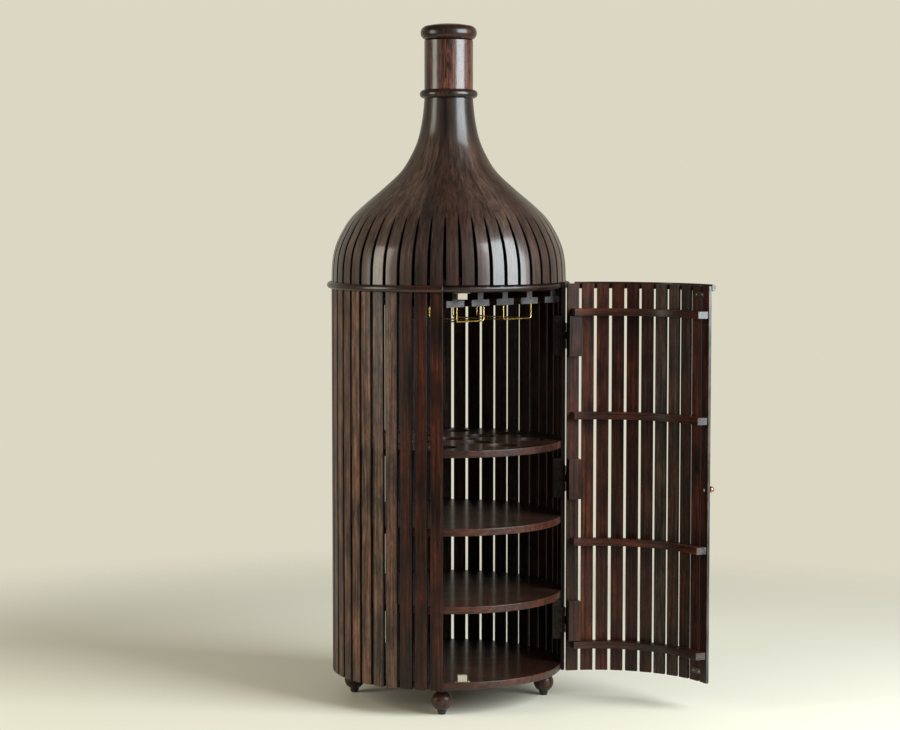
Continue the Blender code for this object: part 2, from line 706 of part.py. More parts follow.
def leaf_mesh(name, knuckles, carries_pin):
    """Hinge leaf in its slat's frame: origin on the pin, +X out, and the slat's edge on the -Y side."""
    bm = prism(leaf_outline(knuckles), LEAF_T)
    behind_pin = SEAT - SLAT_EDGE_TO_PIN
    stand_up = Matrix(((1, 0, 0, 0), (0, 0, 1, behind_pin), (0, 1, 0, -HINGE_H / 2), (0, 0, 0, 1)))
    bmesh.ops.transform(bm, matrix=stand_up, verts=bm.verts)
    plate = add_helper(f"{name}_plate", finish_mesh(bm, name))
    knuckle_h = HINGE_H / KNUCKLE_COUNT
    places = [Matrix.Translation((0, 0, i * knuckle_h + KNUCKLE_GAP - HINGE_H / 2)) for i in knuckles]
    barrels = repeated(rod(KNUCKLE_R, knuckle_h - 2 * KNUCKLE_GAP, KNUCKLE_SIDES), places)
    barrel_helper = add_cutter(f"{name}_barrels", barrels)
    boolean(plate, barrel_helper, "UNION")
    core = pin_core(name) if carries_pin else pin_bore(name)
    boolean(plate, core, "UNION" if carries_pin else "DIFFERENCE")
    mesh = evaluated_mesh(plate)
    for helper in (plate, barrel_helper, core):
        bpy.data.objects.remove(helper, do_unlink=True)
    return mesh


def build_leaves(sign, label, knuckles, carries_pin, metal, door=None):
    """The three leaves on one side of the hinges: sign -1 is the door's side and +1 the body's, mirrored."""
    bearing = HINGE_BEARING + sign * PITCH / 2
    turn = Matrix.Rotation(turn_of(bearing), 4, "Z")
    for name, z in HINGE_HEIGHTS:
        mesh = leaf_mesh(f"hinge_leaf_{label}_{name}", knuckles, carries_pin)
        if sign > 0:
            mesh.transform(Matrix.Diagonal((1, -1, 1, 1)))
            mesh.flip_normals()
        place = Matrix.Translation(polar(SLAT_R, HINGE_BEARING, z)) @ turn
        add_object(f"hinge_leaf_{label}_{name}", mesh, metal, place, door)


def build_stile(sign, name, slat_mesh, inner, wood, door=None):
    """The slat beside the hinges, with the three blocks glued behind it that take the hinge screws."""
    bearing = HINGE_BEARING + sign * PITCH / 2
    stile = add_object(name, slat_mesh, wood, facing(bearing, SLAT_R), door)
    block = box(-HINGE_BLOCK_DEPTH, JOINT_LAP, SLAT_W + HINGE_BLOCK_LAP, HINGE_BLOCK_H)
    sideways = sign * (HINGE_BLOCK_LAP / 2 + HINGE_BLOCK_SETBACK)
    places = [facing(bearing, inner, sideways, z) for _, z in HINGE_HEIGHTS]
    boolean(stile, add_cutter(f"{name}_blocks", repeated(block, places), None, door), "UNION")


def build_door(door, wood, copper, steel):
    """Curved slatted door in its shut place, riding on the hinge axis."""
    for i in range(DOOR_SLATS - 1):
        name = f"door_slat_{i + 1:02d}"
        mesh = finish_mesh(slat_blank(DOOR_SLAT_T, DOOR_BOTTOM, DOOR_TOP), name)
        add_object(name, mesh, wood, facing(slat_bearing(i), SLAT_R), door)
    stile_slat = finish_mesh(slat_blank(DOOR_SLAT_T, DOOR_BOTTOM, DOOR_TOP), "door_hinge_stile")
    build_stile(-1, "door_hinge_stile", stile_slat, DOOR_INNER, wood, door)
    bead = arc_bar(bead_section(), DOOR_FREE, HINGE_BEARING - BEAD_CUT_ANGLE, BEAD_STEP)
    add_object("door_bead", finish_mesh(bead, "door_bead"), wood, None, door)
    rib_outer = DOOR_INNER - SEAT
    for i, z in enumerate(RIB_HEIGHTS):
        section = square_section(rib_outer - RIB_DEPTH, rib_outer, z, RIB_H)
        rib = arc_bar(section, DOOR_FREE + RIB_FREE_MARGIN, DOOR_HINGE - RIB_HINGE_MARGIN, RIB_STEP)
        add_object(f"door_rib_{i + 1}", finish_mesh(rib, f"door_rib_{i + 1}"), wood, None, door)
    build_knob(door, copper, steel)
    build_strikes(door, steel)


def build_knob(door, copper, steel):
    """Ball knob outside the free slat, held by a screw through that slat."""
    z = (DOOR_TOP + DOOR_BOTTOM) / 2 - KNOB_DROP
    bearing = slat_bearing(0)
    along = Matrix.Rotation(math.pi / 2, 4, "Y")
    bore_r = KNOB_SCREW_R + KNOB_SCREW_CLEARANCE
    ball_mid = KNOB_NECK_L + KNOB_BALL_R
    neck = math.degrees(math.asin(KNOB_NECK_R / KNOB_BALL_R)) - 90
    profile = [
        (0, KNOB_SCREW_IN + SEAT), (bore_r, KNOB_SCREW_IN + SEAT), (bore_r, 0), (KNOB_NECK_R, 0),
        *arc_points((0, ball_mid), KNOB_BALL_R, KNOB_BALL_R, neck, 90, 6)[:-1], (0, ball_mid + KNOB_BALL_R),
    ]
    knob = finish_mesh(lathe(profile, KNOB_SIDES), "door_knob")
    add_object("door_knob", knob, copper, facing(bearing, SLAT_R + SEAT, 0, z) @ along, door)
    head = -DOOR_SLAT_T - 2 * SEAT
    screw_profile = [
        (0, head - KNOB_SCREW_HEAD_H), (0.6 * KNOB_SCREW_HEAD_R, head - KNOB_SCREW_HEAD_H),
        (KNOB_SCREW_HEAD_R, head), (KNOB_SCREW_R, head), (KNOB_SCREW_R, KNOB_SCREW_IN), (0, KNOB_SCREW_IN),
    ]
    screw = finish_mesh(lathe(screw_profile, PIN_SIDES), "knob_screw")
    add_object("knob_screw", screw, steel, facing(bearing, SLAT_R + SEAT, 0, z) @ along, door)
    bit = rod(bore_r, 4 * SLAT_T, PIN_SIDES)
    bmesh.ops.translate(bit, verts=bit.verts, vec=(0, 0, -2 * SLAT_T))
    cutter = add_cutter("knob_screw_hole", bit, facing(bearing, SLAT_R, 0, z) @ along, door)
    boolean(bpy.data.objects["door_slat_01"], cutter, "DIFFERENCE")


def build_strikes(door, steel):
    """Steel plates across the two free slats, which the catches hold."""
    for name, face, up in catch_boards():
        plate = finish_mesh(box(-STRIKE_T, 0, STRIKE_W, STRIKE_H), f"strike_plate_{name}")
        place = facing(CATCH_BEARING, strike_plane(), 0, catch_middle(face, up))
        add_object(f"strike_plate_{name}", plate, steel, place, door)


def main():
    clear_scene()
    wood = make_material("rosewood", (0.055, 0.026, 0.018), 0.38)
    neck_wood = make_material("neck_rosewood", (0.11, 0.04, 0.022), 0.25)
    brass = make_material("brass_wire", (0.62, 0.42, 0.13), 0.3, 1.0)
    dark_metal = make_material("hinge_metal", (0.05, 0.045, 0.04), 0.45, 1.0)
    steel = make_material("plated_steel", (0.55, 0.54, 0.5), 0.35, 1.0)
    copper = make_material("knob_copper", (0.45, 0.17, 0.11), 0.25, 1.0)
    plastic = make_material("glide_plastic", (0.02, 0.018, 0.017), 0.5)
    cream = make_material("catch_plastic", (0.62, 0.55, 0.42), 0.5)
    build_boards(wood)
    build_body_panels(wood)
    stile_slat = finish_mesh(slat_blank(SLAT_T, 0.0, SLAT_TOP), "hinge_stile")
    build_stile(1, "hinge_stile", stile_slat, SLAT_INNER, wood)
    build_waist_bead(wood)
    build_dome(wood)
    build_neck(wood, neck_wood)
    build_feet(wood, plastic)
    build_rails(wood)
    build_wires(brass)
    build_catches(cream, steel)
    build_leaves(1, "body", (0, 2), True, dark_metal)
    door = bpy.data.objects.new("door_axis", None)
    bpy.context.collection.objects.link(door)
    door.location = polar(SLAT_R, HINGE_BEARING)
    build_leaves(-1, "door", (1,), False, dark_metal, door)
    build_door(door, wood, copper, steel)
    door.rotation_euler.z = math.radians(OPEN_ANGLE)


main()
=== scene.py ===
"""Bottle-shaped bar cabinet: finely shaped and finished pieces over the cabinet's solid model.

Units are metres and +Z is up. A bearing is an angle in degrees seen from above: 0 is the front (-Y), and it
grows towards +X. Door pieces are drawn shut and then swung open about the hinge pins.
"""

from __future__ import annotations

import logging
import math
import random
from collections.abc import Callable, Sequence
from dataclasses import dataclass, field, replace
from enum import Enum
from typing import Any

import bmesh
import bpy
from mathutils import Matrix, Vector

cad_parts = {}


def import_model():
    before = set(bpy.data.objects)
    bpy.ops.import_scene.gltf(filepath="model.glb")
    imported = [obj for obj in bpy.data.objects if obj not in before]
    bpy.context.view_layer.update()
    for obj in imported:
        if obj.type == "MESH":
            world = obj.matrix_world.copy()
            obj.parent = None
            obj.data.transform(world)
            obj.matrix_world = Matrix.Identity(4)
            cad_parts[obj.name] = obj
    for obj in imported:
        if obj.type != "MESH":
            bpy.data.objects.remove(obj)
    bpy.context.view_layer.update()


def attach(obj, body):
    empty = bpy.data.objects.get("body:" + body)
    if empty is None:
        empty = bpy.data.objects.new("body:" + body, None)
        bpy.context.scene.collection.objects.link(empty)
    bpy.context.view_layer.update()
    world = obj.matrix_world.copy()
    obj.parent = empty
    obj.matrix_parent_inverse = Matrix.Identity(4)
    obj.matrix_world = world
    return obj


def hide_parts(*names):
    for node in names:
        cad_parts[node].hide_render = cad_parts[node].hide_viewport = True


LOG = logging.getLogger("bar_cabinet")
# A direction that no stretch of wire runs in
OBLIQUE = Vector((0.31, 0.52, 0.79))
Shape = bmesh.types.BMesh
Pair = tuple[float, float]
Pairs = tuple[Pair, ...]
Triple = tuple[float, float, float]
Colour = Triple
Section = list[Pair]
Grain = Callable[[Vector], Triple]
Stainer = Callable[[bmesh.types.BMFace], "Stain"]


class Carrier(Enum):
    """The body that a piece moves with."""

    CABINET = "cabinet"
    DOOR = "door"


class Slot(Enum):
    """The record's material slots."""

    SLAT_WOOD = "slat_wood"
    BOARD_WOOD = "board_wood"
    NECK_WOOD = "neck_wood"
    BRASS_WIRE = "brass_wire"
    HINGE_METAL = "hinge_metal"
    PLATED_STEEL = "plated_steel"
    KNOB_METAL = "knob_metal"
    GLIDE_PLASTIC = "glide_plastic"
    CATCH_PLASTIC = "catch_plastic"


# Shader bench


class Signal:
    """A shader socket that arithmetic can be written on."""

    def __init__(self, bench: ShaderBench, socket: bpy.types.NodeSocket) -> None:
        """Wrap an output socket of a bench's node tree."""
        self.bench = bench
        self.socket = socket

    def __add__(self, other: Signal | float) -> Signal:
        """Sum of two signals."""
        return self.bench.math("ADD", self, other)

    __radd__ = __add__

    def __sub__(self, other: Signal | float) -> Signal:
        """This signal less another."""
        return self.bench.math("SUBTRACT", self, other)

    def __rsub__(self, other: Signal | float) -> Signal:
        """Another value less this signal."""
        return self.bench.math("SUBTRACT", other, self)

    def __mul__(self, other: Signal | float) -> Signal:
        """Product of two signals."""
        return self.bench.math("MULTIPLY", self, other)

    __rmul__ = __mul__

    def __pow__(self, other: Signal | float) -> Signal:
        """This signal to a power."""
        return self.bench.math("POWER", self, other)


@dataclass(frozen=True)
class Layer:
    """Noise that is stretched along a board's grain.

    Its rates are cycles per metre along the grain and across it. Its band is the part of the noise's range
    that is spread over 0 to 1.
    """

    along: float
    across: float
    detail: float = 2.0
    roughness: float = 0.5
    band: Pair = (0.0, 1.0)


class ShaderBench:
    """A node tree under construction."""

    def __init__(self, tree: bpy.types.NodeTree) -> None:
        """Start from an empty node tree."""
        self.tree = tree
        tree.nodes.clear()

    def node(
        self, kind: str, settings: dict[str, Any] | None = None, inputs: dict[Any, Any] | None = None
    ) -> bpy.types.Node:
        """Add a node.

        Args:
            kind: The node's type.
            settings: Its own settings, set first.
            inputs: A value or a signal for each socket, named by its name, identifier or number.

        Returns:
            The new node.
        """
        node = self.tree.nodes.new(kind)
        for name, value in (settings or {}).items():
            setattr(node, name, value)
        for key, value in (inputs or {}).items():
            socket = self.find(node.inputs, key)
            if isinstance(value, Signal):
                self.tree.links.new(value.socket, socket)
            elif isinstance(value, tuple) and socket.type == "RGBA":
                socket.default_value = (*value, 1.0)
            else:
                socket.default_value = value
        return node

    @staticmethod
    def find(sockets: bpy.types.bpy_prop_collection, key: Any) -> bpy.types.NodeSocket:
        """Socket with a number, an identifier or a name.

        Args:
            sockets: A node's inputs or outputs.
            key: The number, identifier or name.

        Returns:
            The socket.
        """
        if isinstance(key, int):
            return sockets[key]
        for socket in sockets:
            if socket.identifier == key:
                return socket
        return sockets[key]

    def out(self, node: bpy.types.Node, key: Any = 0) -> Signal:
        """Signal from one of a node's outputs."""
        return Signal(self, self.find(node.outputs, key))

    def math(self, operation: str, first: Signal | float, second: Signal | float = 0.0) -> Signal:
        """Number from a Math node. The second number counts only where the operation takes two."""
        return self.out(self.node("ShaderNodeMath", {"operation": operation}, {0: first, 1: second}))

    def clamp(self, value: Signal, low: Signal | float = 0.0, high: Signal | float = 1.0) -> Signal:
        """A signal stretched from low..high to 0..1 and held there."""
        inputs = {"Value": value, "From Min": low, "From Max": high}
        return self.out(self.node("ShaderNodeMapRange", {"clamp": True}, inputs))

    def vector(self, operation: str, first: Any, second: Any) -> Signal:
        """Vector from a Vector Math node."""
        return self.out(self.node("ShaderNodeVectorMath", {"operation": operation}, {0: first, 1: second}))

    def joined(self, x: Signal | float, y: Signal | float, z: Signal | float) -> Signal:
        """Vector made of three numbers."""
        return self.out(self.node("ShaderNodeCombineXYZ", {}, {0: x, 1: y, 2: z}))

    def parted(self, vector: Signal) -> tuple[Signal, Signal, Signal]:
        """The three numbers of a vector."""
        node = self.node("ShaderNodeSeparateXYZ", {}, {0: vector})
        return self.out(node, 0), self.out(node, 1), self.out(node, 2)

    def scaled(self, colour: Signal, level: Signal) -> Signal:
        """Colour made lighter or darker by a number."""
        return self.vector("MULTIPLY", colour, self.joined(level, level, level))

    def mix(self, factor: Signal | float, first: Any, second: Any) -> Signal:
        """Colour between two colours."""
        inputs = {"Factor_Float": factor, "A_Color": first, "B_Color": second}
        return self.out(self.node("ShaderNodeMix", {"data_type": "RGBA"}, inputs), "Result_Color")

    def attribute(self, name: str, output: str) -> Signal:
        """Value that a mesh carries under a name."""
        return self.out(self.node("ShaderNodeAttribute", {"attribute_name": name}), output)

    def noise(self, place: Signal, scale: float, detail: float = 2.0, roughness: float = 0.5) -> Signal:
        """Noise between about 0.2 and 0.8 at a place."""
        inputs = {"Vector": place, "Scale": scale, "Detail": detail, "Roughness": roughness}
        return self.out(self.node("ShaderNodeTexNoise", {}, inputs), "Fac")

    def stretched(self, place: Signal, layer: Layer) -> Signal:
        """A layer's noise over its whole range."""
        rates = (layer.along, layer.across, layer.across)
        return self.noise(self.vector("MULTIPLY", place, rates), 1.0, layer.detail, layer.roughness)

    def banded(self, place: Signal, layer: Layer) -> Signal:
        """A layer's noise with its band spread over 0 to 1."""
        return self.clamp(self.stretched(place, layer), *layer.band)

    def bump(self, strength: float, distance: float, height: Signal) -> Signal:
        """Normal of a surface with fine relief."""
        inputs = {"Strength": strength, "Distance": distance, "Height": height}
        return self.out(self.node("ShaderNodeBump", {}, inputs))

    def finish(self, surface: dict[str, Any]) -> None:
        """End the tree in a Principled shader with the given socket values."""
        shader = self.out(self.node("ShaderNodeBsdfPrincipled", {}, surface))
        self.node("ShaderNodeOutputMaterial", {}, {"Surface": shader})


def new_bench(name: str) -> tuple[bpy.types.Material, ShaderBench]:
    """New material, and the bench for its nodes.

    Args:
        name: The material's name.

    Returns:
        The material and its bench.
    """
    material = bpy.data.materials.new(name)
    material.use_nodes = True
    return material, ShaderBench(material.node_tree)


# Finishes


@dataclass(frozen=True)
class WoodFinish:
    """Stained and lacquered hardwood whose figure follows each board's own grain.

    A mesh carries "grain", the place in its board as (along, across, depth), and for each face "board", the
    board's number, "tone", its lightness, "warmth", from grey-brown to red-brown and below 0 a pale grey that
    paints the window's reflection on cut ends, and "gloss", its polish, below 0 dull.
    """

    name: str
    slot: Slot
    grey_dark: Colour = (0.012, 0.0075, 0.0050)
    grey_light: Colour = (0.196, 0.128, 0.087)
    red_dark: Colour = (0.009, 0.0031, 0.0019)
    red_light: Colour = (0.165, 0.038, 0.0135)
    pore_colour: Colour = (0.004, 0.0024, 0.0018)
    # Pale grey that paints the window's reflection on cut ends
    end_sheen_colour: Colour = (0.137, 0.129, 0.126)
    roughness: float = 0.33
    specular: float = 0.24
    coat_roughness: float = 0.19
    board_step: Triple = (3.71, 0.217, 0.131)
    heart_step: float = 0.618
    heart_across: float = 0.015
    heart_spread: float = 0.05
    heart_depth: float = 0.05
    ring_pitch: float = 0.0085
    ring_warp: float = 0.055
    warp: Layer = Layer(1.7, 14.0, 3.0)
    streaks: Layer = Layer(4.5, 190.0, 4.0, 0.62, (0.35, 0.67))
    clouds: Layer = Layer(7.0, 19.0, 3.0, 0.6, (0.32, 0.70))
    patches: Layer = Layer(11.0, 18.0, 3.0, 0.65, (0.34, 0.66))
    pores: Layer = Layer(45.0, 1500.0, 2.0, 0.7, (0.52, 0.66))
    flecks: Layer = Layer(48.0, 420.0, 2.0, 0.6, (0.53, 0.64))
    veins: Layer = Layer(2.2, 95.0)
    vein_width: Pair = (0.006, 0.035)
    waves: Layer = Layer(14.0, 60.0)
    ring_share: float = 0.18
    cloud_share: float = 0.36
    patch_share: float = 0.9
    pore_share: float = 0.45
    vein_share: float = 0.4
    fleck_share: float = 0.45
    figure_range: Pair = (0.1, 0.95)
    figure_power: float = 1.35
    figure_middle: float = 0.4
    contrast: float = 1.0
    cloud_warmth: float = 1.1
    streak_warmth: float = 0.3
    polish_smoothness: float = 0.10
    streak_roughness: float = 0.10
    cloud_roughness: float = 0.08
    dull_roughness: float = 0.3
    streak_relief: float = 0.25
    pore_relief: float = 0.6
    vein_relief: float = 0.3
    wave_relief: float = 2.0
    bump_strength: float = 0.35
    bump_distance: float = 0.0004

    def rings(self, bench: ShaderBench, own: Signal, place: Signal, board: Signal) -> Signal:
        """Growth rings round a heart that lies beside and below the board.

        Args:
            bench: The material's bench.
            own: Place in the board.
            place: The same, moved so that each board has its own figure.
            board: The board's number.

        Returns:
            0 to 1 and back over each ring.
        """
        _, across, depth = bench.parted(own)
        across = across + self.heart_across + self.heart_spread * bench.math("FRACT", board * self.heart_step)
        depth = depth + self.heart_depth
        warp = bench.stretched(place, self.warp) - 0.5
        heart = (across * across + depth * depth) ** 0.5
        turns = (heart + warp * self.ring_warp) * (math.tau / self.ring_pitch)
        return bench.math("SINE", turns) * 0.5 + 0.5

    def material(self) -> bpy.types.Material:
        """Build the material.

        Returns:
            A material that any mesh with the five named values can wear.
        """
        material, bench = new_bench(self.name)
        board = bench.attribute("board", "Fac")
        own = bench.attribute("grain", "Vector")
        place = bench.vector("ADD", own, bench.joined(*(board * step for step in self.board_step)))
        streaks = bench.banded(place, self.streaks)
        clouds = bench.stretched(place, self.clouds)
        cloud = bench.clamp(clouds, *self.clouds.band)
        pores = bench.banded(place, self.pores)
        off_vein = bench.math("ABSOLUTE", bench.stretched(place, self.veins) - 0.5)
        vein = 1 - bench.clamp(off_vein, *self.vein_width)
        flecks = bench.banded(place, self.flecks)
        streak_share = 1 - self.ring_share - self.cloud_share
        figure = self.rings(bench, own, place, board) * self.ring_share + streaks * streak_share
        figure = bench.clamp(figure + cloud * self.cloud_share, *self.figure_range) ** self.figure_power
        figure = (figure - self.figure_middle) * self.contrast + self.figure_middle
        chosen = bench.attribute("warmth", "Fac")
        warmth = chosen + (clouds - 0.5) * self.cloud_warmth + (streaks - 0.5) * self.streak_warmth
        warmth = bench.clamp(warmth)
        dark = bench.mix(warmth, self.grey_dark, self.red_dark)
        light = bench.mix(warmth, self.grey_light, self.red_light)
        # Below 0, warmth mixes towards a pale grey, a painted reflection of the window on cut ends
        colour = bench.mix(bench.clamp(0 - chosen), bench.mix(figure, dark, light), self.end_sheen_colour)
        lightness = 1 + (bench.banded(place, self.patches) - 0.5) * self.patch_share
        colour = bench.scaled(colour, lightness * bench.attribute("tone", "Fac"))
        marks = pores * self.pore_share + vein * self.vein_share + flecks * self.fleck_share
        gloss = bench.attribute("gloss", "Fac")
        polish = bench.clamp(gloss)
        dull = bench.clamp(0 - gloss)
        height = (
            streaks * self.streak_relief - pores * self.pore_relief - vein * self.vein_relief
            + bench.stretched(place, self.waves) * self.wave_relief
        )
        bench.finish({
            "Base Color": bench.mix(bench.clamp(marks), colour, self.pore_colour),
            "Roughness": (
                self.roughness - polish * self.polish_smoothness + streaks * self.streak_roughness
                + cloud * self.cloud_roughness + dull * self.dull_roughness
            ),
            "Specular IOR Level": self.specular,
            "Coat Weight": polish,
            "Coat Roughness": self.coat_roughness,
            "Normal": bench.bump(self.bump_strength, self.bump_distance, height),
        })
        return material


@dataclass(frozen=True)
class MetalFinish:
    """Metal with faint brushing, darker smudges and a little unevenness."""

    name: str
    slot: Slot
    colour: Colour
    tarnish: Colour
    roughness: float
    metallic: float = 1.0
    smudge_roughness: float = 0.14
    line_roughness: float = 0.1

    def material(self) -> bpy.types.Material:
        """Build the material.

        Returns:
            The metal's material.
        """
        material, bench = new_bench(self.name)
        place = bench.attribute("grain", "Vector")
        smudges = bench.clamp(bench.noise(place, scale=160.0, detail=4.0, roughness=0.6), low=0.45, high=0.75)
        lines = bench.stretched(place, Layer(along=90.0, across=2400.0))
        colour = bench.mix(smudges, self.colour, self.tarnish)
        bench.finish({
            "Base Color": bench.scaled(colour, bench.attribute("tone", "Fac")),
            "Metallic": self.metallic,
            "Roughness": (
                self.roughness + smudges * self.smudge_roughness + (lines - 0.5) * self.line_roughness
            ),
            "Normal": bench.bump(strength=0.15, distance=0.0001, height=lines),
        })
        return material


@dataclass(frozen=True)
class PlasticFinish:
    """Moulded plastic with a fine texture and faint marks."""

    name: str
    slot: Slot
    colour: Colour
    worn: Colour
    roughness: float
    mark_roughness: float = 0.12

    def material(self) -> bpy.types.Material:
        """Build the material.

        Returns:
            The plastic's material.
        """
        material, bench = new_bench(self.name)
        place = bench.attribute("grain", "Vector")
        marks = bench.clamp(bench.noise(place, scale=220.0, detail=5.0, roughness=0.65), low=0.5, high=0.8)
        skin = bench.noise(place, scale=2600.0)
        bench.finish({
            "Base Color": bench.mix(marks, self.colour, self.worn),
            "Roughness": self.roughness + marks * self.mark_roughness,
            "Normal": bench.bump(strength=0.2, distance=0.0001, height=skin),
        })
        return material


class Finish(Enum):
    """What each kind of piece is finished in."""

    SLATS = WoodFinish("slat_rosewood", Slot.SLAT_WOOD)
    DOME = WoodFinish(
        "dome_rosewood", Slot.SLAT_WOOD, grey_light=(0.190, 0.128, 0.094), red_light=(0.150, 0.066, 0.042),
        specular=0.20, coat_roughness=0.17, streaks=replace(WoodFinish.streaks, along=3.5),
        ring_share=0.10, cloud_share=0.22, contrast=0.56, patch_share=0.5, fleck_share=0.2,
    )
    BOARDS = WoodFinish(
        "board_rosewood", Slot.BOARD_WOOD, roughness=0.30, specular=0.36, coat_roughness=0.17,
        ring_pitch=0.012, contrast=0.8,
    )
    NECK = WoodFinish(
        "neck_rosewood", Slot.NECK_WOOD, red_light=(0.26, 0.078, 0.038), red_dark=(0.012, 0.0045, 0.003),
        roughness=0.30, specular=0.36, coat_roughness=0.15,
        streaks=replace(WoodFinish.streaks, along=18.0, across=340.0), ring_pitch=0.006, ring_share=0.15,
        cloud_share=0.30, pore_share=0.6, fleck_share=0.85,
    )
    BRASS = MetalFinish("bright_brass", Slot.BRASS_WIRE, (0.78, 0.51, 0.13), (0.66, 0.41, 0.09), 0.24)
    HINGES = MetalFinish(
        "browned_hinge_metal", Slot.HINGE_METAL, (0.035, 0.030, 0.027), (0.012, 0.010, 0.009), 0.42
    )
    STEEL = MetalFinish("plated_steel", Slot.PLATED_STEEL, (0.52, 0.49, 0.42), (0.24, 0.21, 0.17), 0.32)
    KNOB = MetalFinish("copper_knob", Slot.KNOB_METAL, (0.62, 0.24, 0.17), (0.32, 0.10, 0.07), 0.20)
    GLIDES = PlasticFinish(
        "black_glide_plastic", Slot.GLIDE_PLASTIC, (0.010, 0.009, 0.008), (0.035, 0.032, 0.030), 0.45
    )
    CATCHES = PlasticFinish(
        "cream_catch_plastic", Slot.CATCH_PLASTIC, (0.52, 0.44, 0.34), (0.38, 0.31, 0.23), 0.42
    )


# Shared sizes


@dataclass(frozen=True)
class Layout:
    """Sizes that several sub-assemblies share. Height 0 is the base board's underside."""

    seat: float = 0.0003
    slat_radius: float = 0.294
    slat_count: int = 48
    slot_width: float = 0.0077
    slat_thickness: float = 0.009
    slot_bearing: float = -2.0
    door_slats: int = 11
    door_shelf_gap: float = 0.001
    door_top_gap: float = 0.0048
    door_bottom_gap: float = 0.001
    open_angle: float = 115.0
    board: float = 0.018
    bays: tuple[float, float, float, float] = (0.167, 0.1715, 0.172, 0.380)
    hinge_height: float = 0.064
    block_height: float = 0.100
    block_gap: float = 0.001
    rib_height: float = 0.018
    rib_below_top_board: float = 0.057
    rib_above_bottle_shelf: float = 0.0645
    rib_below_middle_shelf: float = 0.045
    rib_above_base: float = 0.0515
    bead_radius: float = 0.0085
    bead_proud: float = 0.0115
    bead_below_dome: float = 0.0093
    bead_hinge_cut: float = 0.026
    neck_radius: float = 0.0608
    dome_height: float = 0.455
    foot_height: float = 0.0685

    @property
    def pitch(self) -> float:
        """Degrees from one slat to the next."""
        return 360.0 / self.slat_count

    @property
    def slat_width(self) -> float:
        """Width of a slat across its face."""
        return 2 * self.slat_radius * math.sin(math.radians(self.pitch / 2)) - self.slot_width

    @property
    def half_slot(self) -> float:
        """Half a slot, in degrees."""
        return math.degrees(self.slot_width / 2 / self.slat_radius)

    @property
    def board_radius(self) -> float:
        """Radius of the round boards."""
        return self.slat_radius - self.slat_thickness - self.seat

    @property
    def door_inner(self) -> float:
        """Distance from the axis to the inside of the shut door's slats."""
        return self.board_radius + self.door_shelf_gap

    @property
    def hinge_bearing(self) -> float:
        """Bearing of the hinge pins."""
        return self.slot_bearing + self.door_slats * self.pitch

    @property
    def board_heights(self) -> tuple[float, ...]:
        """Undersides of the base board, the shelves and the top board."""
        heights = [0.0]
        for bay in self.bays:
            heights.append(heights[-1] + self.board + bay)
        return tuple(heights)

    @property
    def slat_top(self) -> float:
        """Top of the body's slats."""
        return self.board_heights[-1] + self.board

    @property
    def dome_foot(self) -> float:
        """Underside of the dome."""
        return self.slat_top + self.seat

    @property
    def dome_crown(self) -> float:
        """Top of the dome."""
        return self.dome_foot + self.dome_height

    @property
    def door_top(self) -> float:
        """Top of the door's slats."""
        return self.dome_foot - self.door_top_gap

    @property
    def bead_height(self) -> float:
        """Height of the middle of the waist bead."""
        return self.dome_foot - self.bead_below_dome

    @property
    def bead_cut(self) -> float:
        """Degrees from the hinge pins to an end of the bead."""
        return math.degrees(self.bead_hinge_cut / self.slat_radius)

    @property
    def rib_heights(self) -> tuple[float, ...]:
        """Middles of the door's ribs, from the top down."""
        base, _, middle, bottles, top = self.board_heights
        return (
            top - self.rib_below_top_board, bottles + self.board + self.rib_above_bottle_shelf,
            middle - self.rib_below_middle_shelf, base + self.board + self.rib_above_base,
        )

    @property
    def hinge_heights(self) -> dict[str, float]:
        """Middles of the three hinges."""
        reach = self.rib_height / 2 + self.block_gap + self.block_height / 2
        top = self.rib_heights[0] - reach
        bottom = self.rib_heights[3] + reach
        return {"top": top, "middle": (top + bottom) / 2, "bottom": bottom}

    @property
    def swing(self) -> Matrix:
        """Turn that opens the door from its shut place."""
        pin = Matrix.Translation(polar(self.slat_radius, self.hinge_bearing))
        return pin @ Matrix.Rotation(math.radians(self.open_angle), 4, "Z") @ pin.inverted()

    def slat_bearing(self, index: int) -> float:
        """Bearing of a slat, counted from the door's free edge."""
        return self.slot_bearing + (index + 0.5) * self.pitch

    def strike_plane(self, width: float) -> float:
        """Distance from the axis to the back of a plate laid across two of the door's slats."""
        return self.door_inner * math.cos(width / 2 / self.door_inner) - self.seat


# Shaping tools


def turn_of(bearing: float) -> float:
    """Angle about Z that points local +X outwards at a bearing."""
    return math.radians(bearing) - math.pi / 2


def polar(radius: float, bearing: float, height: float = 0.0) -> Vector:
    """Point at a radius and bearing round the cabinet's axis."""
    angle = turn_of(bearing)
    return Vector((radius * math.cos(angle), radius * math.sin(angle), height))


def facing(bearing: float, outwards: float = 0.0, sideways: float = 0.0, height: float = 0.0) -> Matrix:
    """Frame that looks outwards at a bearing, moved outwards, sideways and up."""
    return Matrix.Rotation(turn_of(bearing), 4, "Z") @ Matrix.Translation((outwards, sideways, height))


def portion(value: float, low: float, high: float) -> float:
    """How far a value has come from low to high, held between 0 and 1."""
    return min(1.0, max(0.0, (value - low) / (high - low)))


def arc(
    centre: Pair, radii: Pair, start: float, end: float, steps: int
) -> Section:
    """Points of an ellipse arc between two angles in degrees."""
    angles = [math.radians(start + (end - start) * i / steps) for i in range(steps + 1)]
    return [(centre[0] + radii[0] * math.cos(a), centre[1] + radii[1] * math.sin(a)) for a in angles]


def soft_box(low: Pair, high: Pair, radius: float, steps: int = 3) -> Section:
    """Rectangle with rounded corners.

    Args:
        low: Its lower corner.
        high: Its upper corner.
        radius: Radius of its corners.
        steps: Steps in each corner.

    Returns:
        The outline, counterclockwise.
    """
    corners = ((low[0], low[1], 180), (high[0], low[1], 270), (high[0], high[1], 0), (low[0], high[1], 90))
    out: Section = []
    for x, y, start in corners:
        centre = (x + radius if x == low[0] else x - radius, y + radius if y == low[1] else y - radius)
        out += arc(centre, (radius, radius), start, start + 90, steps)
    return out


